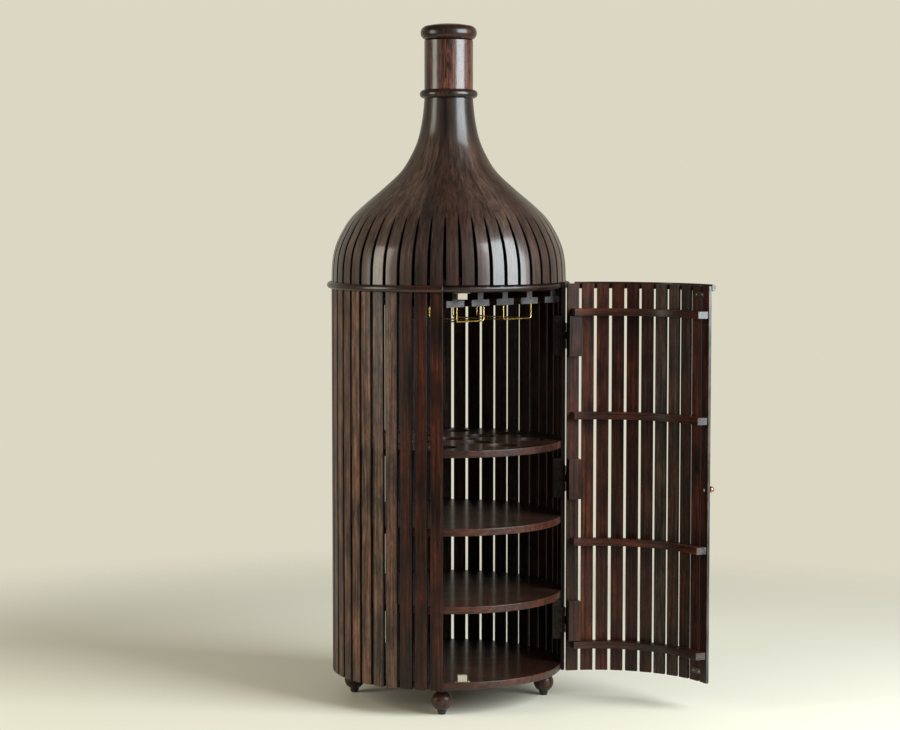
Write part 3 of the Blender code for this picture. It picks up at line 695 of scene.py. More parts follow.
def softened(outline: Section, radius: float, steps: int = 2, most: float = 0.45) -> Section:
    """An outline with each of its corners rounded.

    Args:
        outline: The outline with sharp corners.
        radius: How far from a corner its rounding starts.
        steps: Steps in each corner.
        most: Largest share of a side that one rounding takes.

    Returns:
        The rounded outline.
    """
    out: Section = []
    for i, corner in enumerate(outline):
        here = Vector(corner)
        back = Vector(outline[i - 1]) - here
        ahead = Vector(outline[(i + 1) % len(outline)]) - here
        cut = min(radius, most * back.length, most * ahead.length)
        first = here + back.normalized() * cut
        last = here + ahead.normalized() * cut
        for step in range(steps + 1):
            t = step / steps
            point = first * (1 - t) ** 2 + here * 2 * t * (1 - t) + last * t ** 2
            out.append((point.x, point.y))
    return out


def pillar(radius: float, low: float, high: float, ease: float) -> Section:
    """Profile of a round pillar with eased rims."""
    inner = radius - ease
    return [(0, low), (inner, low), (radius, low + ease), (radius, high - ease), (inner, high), (0, high)]


def shrunk(section: Section, by: float) -> Section:
    """A section drawn in towards its middle.

    Args:
        section: The outline.
        by: How far each point moves.

    Returns:
        The smaller outline.
    """
    middle = sum((Vector(point) for point in section), Vector((0, 0))) / len(section)
    out: Section = []
    for point in section:
        arm = Vector(point) - middle
        kept = middle + arm * max(0.0, 1 - by / max(arm.length, by))
        out.append((kept.x, kept.y))
    return out


def standing(low: float, high: float, ease: float) -> list[Matrix]:
    """Stations for a straight upright sweep with eased ends."""
    return [Matrix.Translation((0, 0, z)) for z in (low, low + ease, high - ease, high)]


def round_axis(start: float, end: float, step: float, ease: float) -> list[Matrix]:
    """Stations for a sweep round the cabinet's axis, whose section is (radius, height).

    Args:
        start: Bearing where the bar starts.
        end: Bearing where it ends.
        step: Largest step between stations, in degrees.
        ease: Length of its eased ends, in degrees.

    Returns:
        The stations.
    """
    upright = Matrix(((1, 0, 0, 0), (0, 0, -1, 0), (0, 1, 0, 0), (0, 0, 0, 1)))
    count = max(1, math.ceil((end - start) / step))
    inner = [start + ease + (end - start - 2 * ease) * i / count for i in range(count + 1)]
    return [Matrix.Rotation(turn_of(b), 4, "Z") @ upright for b in (start, *inner, end)]


def skinned(bm: Shape, rings: Sequence[Sequence[bmesh.types.BMVert]]) -> Shape:
    """Close a bar over the rings of corners along it.

    Args:
        bm: The mesh that the corners are in.
        rings: The rings, from one end to the other.

    Returns:
        The same mesh, closed.
    """
    for low, high in zip(rings, rings[1:]):
        for i in range(len(low)):
            j = (i + 1) % len(low)
            bm.faces.new((low[i], low[j], high[j], high[i]))
    bm.faces.new(list(reversed(rings[0])))
    bm.faces.new(rings[-1])
    bmesh.ops.recalc_face_normals(bm, faces=bm.faces)
    return bm


def sweep(section: Section, stations: Sequence[Matrix], ease: float) -> Shape:
    """Solid bar that carries a section through its stations.

    Args:
        section: Closed outline in each station's local XY plane.
        stations: Frames along the bar. The first and last get the outline drawn in.
        ease: How far it is drawn in there.

    Returns:
        The bar's mesh.
    """
    bm = bmesh.new()
    small = shrunk(section, ease)
    rings = []
    for i, station in enumerate(stations):
        outline = small if i in (0, len(stations) - 1) else section
        rings.append([bm.verts.new(station @ Vector((x, y, 0.0))) for x, y in outline])
    return skinned(bm, rings)


def upright_bar(section: Section, low: float, high: float, ease: float) -> Shape:
    """Upright bar from one height to another, drawn in at its ends by as much as they are eased."""
    return sweep(section, standing(low, high, ease), ease)


def turned(profile: Section, sides: int, merge: float = 1e-6, shortest: float = 1e-7) -> Shape:
    """Solid turned about Z from (radius, height) points that start and end on the axis.

    Args:
        profile: The points.
        sides: Number of sides.
        merge: Distance below which points become one.
        shortest: Length below which edges are taken out.

    Returns:
        The shape's mesh.
    """
    bm = bmesh.new()
    verts = [bm.verts.new((radius, 0.0, z)) for radius, z in profile]
    edges = [bm.edges.new(pair) for pair in zip(verts, verts[1:])]
    bmesh.ops.spin(
        bm, geom=verts + edges, cent=(0, 0, 0), axis=(0, 0, 1), angle=math.tau, steps=sides, use_merge=True
    )
    bmesh.ops.remove_doubles(bm, verts=bm.verts, dist=merge)
    bmesh.ops.dissolve_degenerate(bm, edges=bm.edges, dist=shortest)
    bmesh.ops.recalc_face_normals(bm, faces=bm.faces)
    return bm


def tube(path: Sequence[Vector], radius: float, sides: int) -> Shape:
    """Round wire along a path.

    Args:
        path: Points along its middle.
        radius: Its radius.
        sides: Number of sides.

    Returns:
        The wire's mesh.
    """
    bm = bmesh.new()
    rings = []
    across = OBLIQUE
    for i, point in enumerate(path):
        along = (path[min(i + 1, len(path) - 1)] - path[max(i - 1, 0)]).normalized()
        across = (across - along * across.dot(along)).normalized()
        other = along.cross(across)
        rings.append([
            bm.verts.new(point + (across * math.cos(turn) + other * math.sin(turn)) * radius)
            for turn in (math.tau * side / sides for side in range(sides))
        ])
    return skinned(bm, rings)


def smooth_curve(points: Sequence[Pair], rows: int) -> Section:
    """Catmull-Rom curve through points, with a number of rows between each two.

    Args:
        points: The points.
        rows: Number of rows from each point to the next.

    Returns:
        The rows, and the last point.
    """
    padded = [points[0], *points, points[-1]]
    out: Section = []
    for a, b, c, d in zip(padded, padded[1:], padded[2:], padded[3:]):
        for row in range(rows):
            t = row / rows
            out.append(tuple(
                0.5 * (
                    2 * q + (r - p) * t + (2 * p - 5 * q + 4 * r - s) * t * t
                    + (3 * q - p - 3 * r + s) * t ** 3
                )
                for p, q, r, s in zip(a, b, c, d)
            ))
    out.append(points[-1])
    return out


def upright_grain(point: Vector) -> Triple:
    """Grain that runs up a piece."""
    return (point.z, point.y, point.x)


def level_grain(point: Vector) -> Triple:
    """Grain that runs along a piece's X."""
    return (point.x, point.y, point.z)


def bent_grain(start: float, radius: float) -> Grain:
    """Grain that follows a bar bent round the cabinet's axis.

    Args:
        start: Bearing where the bar starts.
        radius: Radius that lengths are measured at.

    Returns:
        The grain of that bar.
    """
    zero = turn_of(start - 1)

    def grain(point: Vector) -> Triple:
        """Length round the axis, distance outwards, and height."""
        angle = (math.atan2(point.y, point.x) - zero) % math.tau
        return (angle * radius, math.hypot(point.x, point.y) - radius, point.z)

    return grain


# Warmth that paints a cut end pale grey as a painted reflection of the window, and polish of a surface that
# got no lacquer
END_SHEEN_WARMTH = -1.0
DULL = -1.0


@dataclass(frozen=True)
class Stain:
    """How one board looks: its number picks its figure, and then its lightness, redness and polish."""

    board: float
    tone: float = 1.0
    warmth: float = 0.5
    gloss: float = 0.08


def sheened_ends(own: Stain, end: Stain) -> Stainer:
    """Look of each face of a bar, whose end caps, its only faces with more than four corners, take the end
    look: a painted pale reflection of the window.
    """
    return lambda face: end if len(face.verts) > 4 else own


@dataclass
class Stock:
    """Boards and fittings gathered into one mesh, with a grain value at each corner of each face."""

    points: list[Vector] = field(default_factory=list)
    faces: list[tuple[int, ...]] = field(default_factory=list)
    grain: list[Triple] = field(default_factory=list)
    stains: list[Stain] = field(default_factory=list)

    def add(self, bm: Shape, place: Matrix, grain: Grain, stain: Stain | Stainer) -> None:
        """Add a shape. The bmesh is used up.

        Args:
            bm: The shape in its own frame.
            place: Where that frame stands.
            grain: Grain at a point of the shape's own frame.
            stain: How the board looks, or a function that gives the look of each face.
        """
        first = len(self.points)
        bm.verts.index_update()
        bm.normal_update()
        self.points += [place @ vert.co for vert in bm.verts]
        for face in bm.faces:
            self.faces.append(tuple(first + vert.index for vert in face.verts))
            self.grain += [grain(vert.co) for vert in face.verts]
            self.stains.append(stain(face) if callable(stain) else stain)
        bm.free()

    def mesh(self, name: str, sharp: float = 40.0) -> bpy.types.Mesh:
        """Mesh with its named values, shaded smooth where it turns by less than an angle in degrees.

        Args:
            name: The mesh's name.
            sharp: The angle.

        Returns:
            The mesh.
        """
        mesh = bpy.data.meshes.new(name)
        mesh.from_pydata([tuple(point) for point in self.points], [], self.faces)
        grain = mesh.attributes.new("grain", "FLOAT_VECTOR", "CORNER")
        grain.data.foreach_set("vector", [value for triple in self.grain for value in triple])
        for label in ("board", "tone", "warmth", "gloss"):
            layer = mesh.attributes.new(label, "FLOAT", "FACE")
            layer.data.foreach_set("value", [getattr(stain, label) for stain in self.stains])
        mesh.shade_smooth()
        mesh.set_sharp_from_angle(angle=math.radians(sharp))
        return mesh


@dataclass
class Piece:
    """A finished piece: its object, what it moves with, its finish and the solids it stands for."""

    obj: bpy.types.Object
    carrier: Carrier
    finish: Finish
    nodes: tuple[str, ...]


@dataclass
class SubAssembly:
    """Pieces that belong together. A subclass builds them and this class dresses them."""

    layout: Layout
    pieces: list[Piece] = field(default_factory=list, init=False)

    def build(self) -> None:
        """Make the pieces."""
        raise NotImplementedError

    def keep(
        self, name: str, stock: Stock, finish: Finish, nodes: tuple[str, ...],
        carrier: Carrier = Carrier.CABINET,
    ) -> None:
        """Make a piece from gathered stock.

        Args:
            name: The piece's name.
            stock: Its boards.
            finish: What it is finished in.
            nodes: The solids that it stands for.
            carrier: What it moves with.
        """
        obj = bpy.data.objects.new(name, stock.mesh(name))
        bpy.context.collection.objects.link(obj)
        weighted = obj.modifiers.new("even_shading", "WEIGHTED_NORMAL")
        weighted.keep_sharp = True
        self.pieces.append(Piece(obj, carrier, finish, nodes))

    def keep_shape(
        self, name: str, shape: Shape, place: Matrix, grain: Grain, look: Stain | Stainer,
        finish: Finish, node: str, carrier: Carrier = Carrier.CABINET,
    ) -> None:
        """Make a piece from one shape.

        Args:
            name: The piece's name.
            shape: The shape in its own frame.
            place: Where that frame stands.
            grain: Grain at a point of that frame.
            look: How the piece looks, or a function that gives the look of each face.
            finish: What it is finished in.
            node: The solid that it stands for.
            carrier: What it moves with.
        """
        stock = Stock()
        stock.add(shape, place, grain, look)
        self.keep(name, stock, finish, (node,), carrier)

    def dress(self, materials: dict[Finish, bpy.types.Material]) -> None:
        """Give each piece its material and its body, and hide the solids it stands for.

        Args:
            materials: The material of each finish.
        """
        for piece in self.pieces:
            piece.obj.data.materials.append(materials[piece.finish])
            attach(piece.obj, piece.carrier.value)
            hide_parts(*piece.nodes)
            LOG.info("%s rides on %s", piece.obj.name, piece.carrier.value)


# Sub-assemblies


@dataclass
class SlatWall(SubAssembly):
    """The fixed slats of the body, and the stile with its hinge blocks."""

    nose: float = 0.0016
    inner_edge: float = 0.0009
    end_ease: float = 0.0012
    end_draw: float = 0.0008
    block_depth: float = 0.022
    block_lap: float = 0.002
    block_setback: float = 0.0004
    block_sink: float = 0.0002
    block_edge: float = 0.0012
    block_ease: float = 0.001
    panels: tuple[str, ...] = ("slats_right", "slats_back_right", "slats_back_left", "slats_left")
    # Painted shade: side walls and noses beside the gaps are darkened as shade in the gaps, insides as shade
    # in the cabinet
    wall_slope: float = 0.85
    wall_shade_tone: float = 0.22
    nose_slope: float = 0.4
    nose_shade_tone: float = 0.2
    nose_gloss: float = 0.3
    back_slope: float = 0.5
    inside_shade_tone: float = 0.7
    seed: int = 1000
    tone_range: Pair = (0.7, 1.3)
    warmth_range: Pair = (0.1, 0.9)
    # The body's blocks, inside the cabinet behind the stile, are darkened as painted shade
    block_looks: Pairs = ((0.25, 0.5),) * 3
    # Slats left of the door: the light grey tones of those facing the left window are partly painted sheen,
    # the rest their own tone
    left_tones_and_sheen: Pairs = (
        (1.75, 0.36), (1.80, 0.34), (1.85, 0.34), (2.30, 0.40), (2.50, 0.42), (1.60, 0.22), (1.66, 0.34),
        (0.50, 0.76), (0.64, 0.95), (0.64, 1.0),
    )

    def section(self, thickness: float) -> Section:
        """Outline of a slat: slightly crowned outside, with eased edges.

        Args:
            thickness: Thickness of the slat.

        Returns:
            The outline as (outwards, sideways) points.
        """
        half = self.layout.slat_width / 2
        bulge = self.layout.slat_radius - math.sqrt(self.layout.slat_radius ** 2 - half ** 2)
        nose = self.nose
        edge = self.inner_edge
        crown = [(-bulge * (t * t), half * t) for t in (-0.5, 0.0, 0.5)]
        return [
            *arc((-bulge - nose, -half + nose), (nose, nose), -90, -15, 3), *crown,
            *arc((-bulge - nose, half - nose), (nose, nose), 15, 90, 3),
            *arc((-thickness + edge, half - edge), (edge, edge), 90, 180, 2),
            *arc((-thickness + edge, -half + edge), (edge, edge), 180, 270, 2),
        ]

    def stain(self, index: int) -> Stain:
        """Look of a slat: listed on the left of the front, where the light grey tones are partly painted
        window sheen, and random but fixed elsewhere.

        Args:
            index: Number of the slat, counted from the door's free edge.

        Returns:
            Its look.
        """
        from_left = index - (self.layout.slat_count - len(self.left_tones_and_sheen))
        if from_left >= 0:
            tone, warmth = self.left_tones_and_sheen[from_left]
            return Stain(index, tone, warmth)
        dice = random.Random(self.seed + index)
        return Stain(index, dice.uniform(*self.tone_range), dice.uniform(*self.warmth_range))

    def stainer(self, own: Stain, inside_shade_tone: float) -> Stainer:
        """Look of each face of a slat: painted shade darkens its side walls, the edge noses beside the gaps,
        and its inside.

        Args:
            own: The slat's look.
            inside_shade_tone: Share of its lightness that its inside has.

        Returns:
            The look of a face.
        """
        def look(face: bmesh.types.BMFace) -> Stain:
            """Dull and dark with painted shade on the walls, and darkened with painted shade on the noses and
            inside.

            Args:
                face: A face of the slat.

            Returns:
                Its look.
            """
            sideways = abs(face.normal.y)
            if sideways > self.wall_slope:
                return replace(own, tone=own.tone * self.wall_shade_tone, gloss=DULL)
            if sideways > self.nose_slope:
                return replace(own, tone=own.tone * self.nose_shade_tone, gloss=self.nose_gloss)
            return replace(own, tone=own.tone * inside_shade_tone) if face.normal.x < -self.back_slope else own

        return look

    def bar(self, thickness: float, low: float, high: float) -> Shape:
        """A slat from one height to another, in its own frame."""
        return sweep(self.section(thickness), standing(low, high, self.end_ease), self.end_draw)

    def add_slat(self, stock: Stock, index: int) -> None:
        """Add one of the body's slats.

        Args:
            stock: Where it goes.
            index: Its number.
        """
        layout = self.layout
        bar = self.bar(layout.slat_thickness, 0.0, layout.slat_top)
        place = facing(layout.slat_bearing(index), layout.slat_radius)
        stock.add(bar, place, upright_grain, self.stainer(self.stain(index), self.inside_shade_tone))

    def add_blocks(self, stock: Stock, sign: int, back: float, swing: Matrix, first: int) -> None:
        """Add the three blocks behind a stile.

        Args:
            stock: Where they go.
            sign: -1 for the door's side of the pins, +1 for the body's.
            back: Distance from the axis to the back of the slat.
            swing: Turn of the side that they are on.
            first: Board number of the first.
        """
        layout = self.layout
        width = layout.slat_width + self.block_lap
        section = soft_box((-self.block_depth, -width / 2), (0.0, width / 2), self.block_edge)
        outwards = back + self.block_sink
        sideways = sign * (self.block_lap / 2 + self.block_setback)
        bearing = layout.hinge_bearing + sign * layout.pitch / 2
        half = layout.block_height / 2
        for i, (look, height) in enumerate(zip(self.block_looks, layout.hinge_heights.values())):
            block = upright_bar(section, -half, half, self.block_ease)
            place = swing @ facing(bearing, outwards, sideways, height)
            stock.add(block, place, upright_grain, Stain(first + i, *look))

    def build(self) -> None:
        """Make the four panels of slats and the hinge stile."""
        layout = self.layout
        first = layout.door_slats + 1
        count = (layout.slat_count - first) // len(self.panels)
        for panel, name in enumerate(self.panels):
            stock = Stock()
            for i in range(count):
                self.add_slat(stock, first + panel * count + i)
            self.keep(f"{name}_boards", stock, Finish.SLATS, (name,))
        stile = Stock()
        self.add_slat(stile, layout.door_slats)
        self.add_blocks(stile, 1, layout.slat_radius - layout.slat_thickness, Matrix.Identity(4), 70)
        self.keep("hinge_stile_boards", stile, Finish.SLATS, ("hinge_stile",))


@dataclass
class RoundBoards(SubAssembly):
    """Base board, shelves and top board."""

    edge: float = 0.0022
    top_edge: float = 0.0085
    sides: int = 144
    hole_radius: float = 0.038
    hole_ease: float = 0.0014
    hole_knee: float = 0.3
    cutter_reach: float = 0.01
    hole_sides: int = 64
    rings: tuple[tuple[float, int, float], ...] = ((0.0, 1, 0.0), (0.106, 4, 40.0), (0.203, 8, -5.0))
    looks: tuple[tuple[str, float, float], ...] = (
        ("base_board", 0.70, 0.8), ("shelf_lower", 0.65, 0.65), ("shelf_middle", 0.60, 0.6),
        ("bottle_shelf", 0.55, 0.7), ("top_board", 0.55, 0.5),
    )
    gloss: float = 0.30
    rim_slope: float = 0.75
    rim_tone: float = 1.7
    rim_warmth: float = 0.85
    rim_gloss: float = 0.12
    top_rim: Triple = (0.25, 0.45, 0.3)

    def stainer(self, own: Stain, rim: Stain) -> Stainer:
        """Look of each face of a board, whose rim has a look of its own.

        Args:
            own: Look of the board's faces.
            rim: Look of its rim.

        Returns:
            The look of a face.
        """
        inside = self.layout.board_radius - self.edge

        def look(face: bmesh.types.BMFace) -> Stain:
            """The rim's look on faces that stand upright at the board's edge."""
            at_edge = face.calc_center_median().xy.length > inside
            return rim if at_edge and abs(face.normal.z) < self.rim_slope else own

        return look

    def disc(self, edge: float) -> Shape:
        """Round board with a rounded edge, standing on height 0.

        Args:
            edge: Radius of the rounding.

        Returns:
            The board's mesh.
        """
        middle = self.layout.board_radius - edge
        thickness = self.layout.board
        profile = [
            (0, 0), *arc((middle, edge), (edge, edge), -90, 0, 4),
            *arc((middle, thickness - edge), (edge, edge), 0, 90, 4), (0, thickness),
        ]
        return turned(profile, self.sides)

    def hole_cutter(self) -> Shape:
        """What a bottle hole takes away, with a flare at both rims that reaches past the board.

        Returns:
            The cutter's mesh.
        """
        top = self.layout.board
        radius = self.hole_radius
        ease = self.hole_ease
        knee = ease * self.hole_knee
        past = self.cutter_reach
        wide = radius + ease
        profile = [
            (0, -past), (wide + past, -past), (wide, 0), (radius + knee, knee), (radius, ease),
            (radius, top - ease), (radius + knee, top - knee), (wide, top), (wide + past, top + past),
            (0, top + past),
        ]
        return turned(profile, self.hole_sides)

    def drilled(self) -> Shape:
        """Board with the bottle holes, whose rims are eased.

        Returns:
            The board's mesh.
        """
        board = self.loose("drilled_board", self.disc(self.edge))
        cutters = []
        for ring, count, first in self.rings:
            for i in range(count):
                cutter = self.loose("hole_cutter", self.hole_cutter())
                cutter.matrix_world = Matrix.Translation(polar(ring, first + i * 360 / count))
                cutters.append(cutter)
                cut = board.modifiers.new("hole", "BOOLEAN")
                cut.operation = "DIFFERENCE"
                cut.object = cutter
        bpy.context.view_layer.update()
        graph = bpy.context.evaluated_depsgraph_get()
        out = bmesh.new()
        out.from_mesh(board.evaluated_get(graph).to_mesh())
        for obj in (board, *cutters):
            bpy.data.objects.remove(obj, do_unlink=True)
        return out

    @staticmethod
    def loose(name: str, bm: Shape) -> bpy.types.Object:
        """Object for a shape that is only worked with.

        Args:
            name: The object's name.
            bm: The shape, which is used up.

        Returns:
            The object.
        """
        mesh = bpy.data.meshes.new(name)
        bm.to_mesh(mesh)
        bm.free()
        obj = bpy.data.objects.new(name, mesh)
        bpy.context.collection.objects.link(obj)
        return obj

    def build(self) -> None:
        """Make the five boards."""
        for i, (height, (name, tone, warmth)) in enumerate(zip(self.layout.board_heights, self.looks)):
            look = Stain(101 + i, tone, warmth, self.gloss)
            if name == "top_board":
                rim = Stain(look.board, *self.top_rim)
            else:
                rim = Stain(look.board, tone * self.rim_tone, self.rim_warmth, self.rim_gloss)
            if name == "bottle_shelf":
                bm = self.drilled()
            else:
                bm = self.disc(self.top_edge if name == "top_board" else self.edge)
            place = Matrix.Translation((0, 0, height))
            stainer = self.stainer(look, rim)
            self.keep_shape(f"{name}_round", bm, place, level_grain, stainer, Finish.BOARDS, name)


@dataclass
class WaistBead(SubAssembly):
    """Half-round bead round the top of the slats, on the body and on the door."""

    step: float = 2.0
    back_gap: float = 0.0003
    end_ease: float = 0.12
    end_draw: float = 0.0006
    tone: float = 0.5
    warmth: float = 0.8
    gloss: float = 0.6
    # Lightness of the painted reflection on the bead's cut ends
    end_sheen_tone: float = 1.3

    def section(self) -> Section:
        """D-shaped outline whose flat back lies on the slats.

        Returns:
            The outline as (radius, height) points.
        """
        layout = self.layout
        radius = layout.bead_radius
        back = layout.slat_radius + layout.seat + self.back_gap
        centre = layout.slat_radius + layout.bead_proud - radius
        limit = math.degrees(math.acos((back - centre) / radius))
        return arc((centre, layout.bead_height), (radius, radius), -limit, limit, 14)

    def add_run(
        self, name: str, carrier: Carrier, span: Pair, swing: Matrix, board: int
    ) -> None:
        """Make one run of the bead.

        Args:
            name: The solid that it stands for.
            carrier: What it moves with.
            span: Bearings of its ends.
            swing: Turn of the side that it is on.
            board: Its board number.
        """
        bar = sweep(self.section(), round_axis(*span, self.step, self.end_ease), self.end_draw)
        own = Stain(board, self.tone, self.warmth, self.gloss)
        # The bead's cut ends get a painted pale reflection of the window
        look = sheened_ends(own, replace(own, tone=self.end_sheen_tone, warmth=END_SHEEN_WARMTH))
        grain = bent_grain(span[0], self.layout.slat_radius)
        self.keep_shape(f"{name}_round", bar, swing, grain, look, Finish.SLATS, name, carrier)

    def build(self) -> None:
        """Make the body's run and the door's run."""
        layout = self.layout
        pins = layout.hinge_bearing
        free = layout.slot_bearing
        body = (pins + layout.bead_cut, 360 + free - layout.half_slot)
        door = (free + layout.half_slot, pins - layout.bead_cut)
        self.add_run("waist_bead", Carrier.CABINET, body, Matrix.Identity(4), 110)
        self.add_run("door_bead", Carrier.DOOR, door, layout.swing, 111)


@dataclass
class Dome(SubAssembly):
    """Turned dome of glued wedges, with slots that narrow upwards to a point."""

    wall: float = 0.022
    shape: Pairs = (
        (1.0, 0.0), (0.990, 0.107), (0.955, 0.192), (0.882, 0.274), (0.782, 0.351), (0.630, 0.426),
        (0.448, 0.505), (0.254, 0.599), (0.139, 0.692), (0.064, 0.785), (0.019, 0.900), (0.0, 1.0),
    )
    rows: int = 6
    slot_rows: int = 26
    slot_taper: float = 4.6
    hollow_spans: int = 8
    staves_per_wedge: int = 2
    columns: tuple[float, ...] = (-1.0, -0.94, -0.45, 0.0, 0.45, 0.94, 1.0)
    edge_ease: float = 0.0011
    weld_step: float = 5e-6
    depth_figure: float = 0.2
    # Painted shade: the walls of the slots are darkened as shade in the slots
    wall_slope: float = 0.3
    wall_shade_tone: float = 0.22
    gloss: float = 0.78
    dull_span: int = 4
    dull_power: float = 0.4
    crown_gloss: float = 0.16
    cone_gloss: float = 0.6
    cone_tone: float = 0.56
    cone_span: Pair = (0.5, 0.8)
    cap_look: Triple = (0.7, 0.5, 0.5)
    wedge_seed: int = 300
    wedge_tones: Pair = (0.65, 1.0)
    wedge_warmths: Pair = (0.35, 0.75)
    stave_seed: int = 500
    stave_tone: float = 0.12
    stave_warmth: float = 0.1
    looks_from: int = -4
    # Front wedges from the left: the lighter, greyer tones of wedges facing the windows are partly painted
    # sheen, the rest their own tone
    front_looks_and_sheen: Pairs = (
        (1.30, 0.25), (1.32, 0.28), (1.00, 0.38), (0.60, 0.62), (0.58, 0.72), (0.80, 0.6), (1.02, 0.42),
    )

    def profiles(self) -> tuple[Section, Section]:
        """Outer and inner (radius, height) rows, from the foot up.

        Returns:
            The outer rows and the inner rows.
        """
        layout = self.layout
        reach = layout.slat_radius - layout.neck_radius
        outer = [
            (layout.neck_radius + reach * u, layout.dome_foot + layout.dome_height * v)
            for u, v in smooth_curve(self.shape, self.rows)
        ]
        inner: Section = []
        for i in range(self.hollow_spans * self.rows + 1):
            below = Vector(outer[max(i - 1, 0)])
            along = (Vector(outer[i + 1]) - below).normalized() if i else Vector((0, 1))
            inner.append((outer[i][0] - self.wall * along.y, outer[i][1] + self.wall * along.x))
        return outer, inner

    def slot_half(self, row: int) -> float:
        """Half the width of a slot at a row, in degrees.

        Args:
            row: Number of the row, from the foot up.

        Returns:
            Half the width, 0 above the slots.
        """
        if row >= self.slot_rows:
            return 0.0
        return self.layout.half_slot * (1 - (row / self.slot_rows) ** self.slot_taper)

    def stain(self, stave: int) -> Stain:
        """Look of a stave: its wedge's figure, with a slight change of its own.

        Args:
            stave: Number of the stave.

        Returns:
            Its look.
        """
        wedge = stave // self.staves_per_wedge
        wedges = self.layout.slat_count // self.staves_per_wedge
        dice = random.Random(self.wedge_seed + wedge)
        tone, warmth = dice.uniform(*self.wedge_tones), dice.uniform(*self.wedge_warmths)
        from_left = (wedge - self.looks_from) % wedges
        if from_left < len(self.front_looks_and_sheen):
            tone, warmth = self.front_looks_and_sheen[from_left]
        own = random.Random(self.stave_seed + stave)
        tone = tone * own.uniform(1 - self.stave_tone, 1 + self.stave_tone)
        warmth = warmth + own.uniform(-self.stave_warmth, self.stave_warmth)
        return Stain(120 + wedge, tone, warmth, self.gloss)

    def stainer(self, own: Stain, middle: float) -> Stainer:
        """Look of each face of a stave, with painted shade on the walls of the slots, and duller towards the
        crown.

        Args:
            own: The stave's look.
            middle: Bearing of its middle.

        Returns:
            The look of a face.
        """
        sideways = polar(1.0, middle + 90)
        dull_from = self.layout.dome_foot + self.layout.dome_height * self.shape[self.dull_span][1]
        dull_to = self.layout.dome_crown

        def look(face: bmesh.types.BMFace) -> Stain:
            """Painted shade on the slots' walls, duller up the shoulder, and dark and polished on the cone.

            Args:
                face: A face of the stave.

            Returns:
                Its look.
            """
            if abs(face.normal.dot(sideways)) > self.wall_slope:
                return replace(own, tone=own.tone * self.wall_shade_tone, gloss=DULL)
            share = portion(face.calc_center_median().z, dull_from, dull_to)
            cone = portion(share, *self.cone_span)
            gloss = self.gloss + (self.crown_gloss - self.gloss) * share ** self.dull_power
            gloss = gloss + (self.cone_gloss - gloss) * cone
            return replace(own, tone=own.tone * (1 + (self.cone_tone - 1) * cone), gloss=gloss)

        return look

    def grain(self, wedge: int, lengths: Section) -> Grain:
        """Grain that runs up a wedge in straight lines, so that it meets the next wedge's in chevrons.

        Args:
            wedge: Number of the wedge.
            lengths: Height and length along the profile, from the foot up.

        Returns:
            The grain at a point.
        """
        width = self.staves_per_wedge * self.layout.pitch
        frame = facing(self.layout.slot_bearing + (wedge + 0.5) * width).inverted()

        def grain(point: Vector) -> Triple:
            """Length up the profile, true distance sideways, and a little of the distance outwards.

            Args:
                point: A point of the wedge.

            Returns:
                Its grain.
            """
            own = frame @ point
            i = next((k for k, (z, _) in enumerate(lengths) if z >= point.z), len(lengths) - 1)
            (low, start), (high, end) = lengths[max(i - 1, 0)], lengths[max(i, 1)]
            share = (point.z - low) / (high - low)
            return (start + (end - start) * share, own.y, own.x * self.depth_figure)

        return grain

    def stave(self, middle: float, outer: Section, inner: Section) -> Shape:
        """One stave, with walls along its slots and nothing where it meets its neighbours.

        Args:
            middle: Bearing of its middle.
            outer: Radius and height of its outside, row by row.
            inner: The same for its inside.

        Returns:
            The stave's mesh.
        """
        layout = self.layout
        bm = bmesh.new()
        outside = []
        for row, (radius, z) in enumerate(outer):
            open_half = self.slot_half(row)
            half = layout.pitch / 2 - open_half
            ease = self.edge_ease * open_half / layout.half_slot
            outside.append([
                bm.verts.new(polar(radius - (ease if abs(t) == 1.0 else 0.0), middle + half * t, z))
                for t in self.columns
            ])
        inside = []
        for row, (radius, z) in enumerate(inner):
            half = layout.pitch / 2 - self.slot_half(row)
            inside.append([bm.verts.new(polar(radius, middle + half * t, z)) for t in (-1.0, 1.0)])
        for grid in (outside, inside):
            for low, high in zip(grid, grid[1:]):
                for i in range(len(low) - 1):
                    bm.faces.new((low[i], low[i + 1], high[i + 1], high[i]))
        for side in (0, -1):
            for row in range(self.slot_rows):
                wall = (outside[row], outside[row + 1], inside[row + 1], inside[row])
                bm.faces.new([corners[side] for corners in wall])
        bm.faces.new((*outside[0], inside[0][1], inside[0][0]))
        return bm

    def build(self) -> None:
        """Make the dome stave by stave in one skin."""
        layout = self.layout
        outer, inner = self.profiles()
        lengths = [(outer[0][1], 0.0)]
        for start, end in zip(outer, outer[1:]):
            lengths.append((end[1], lengths[-1][1] + math.dist(start, end)))
        stock = Stock()
        for stave in range(layout.slat_count):
            middle = layout.slot_bearing + (stave + 0.5) * layout.pitch
            grain = self.grain(stave // self.staves_per_wedge, lengths)
            look = self.stainer(self.stain(stave), middle)
            stock.add(self.stave(middle, outer, inner), Matrix.Identity(4), grain, look)
        self.weld(stock)
        for radius, z in (outer[-1], inner[-1]):
            self.cap(stock, radius, z)
        self.keep("dome_staves", stock, Finish.DOME, ("dome_shell",))

    def weld(self, stock: Stock) -> None:
        """Join the staves where they touch.

        Args:
            stock: The staves.
        """
        found: dict[tuple[int, ...], int] = {}
        merged: list[int] = []
        points: list[Vector] = []
        for point in stock.points:
            key = tuple(round(value / self.weld_step) for value in point)
            if key not in found:
                found[key] = len(points)
                points.append(point)
            merged.append(found[key])
        stock.faces = [tuple(merged[i] for i in face) for face in stock.faces]
        stock.points = points

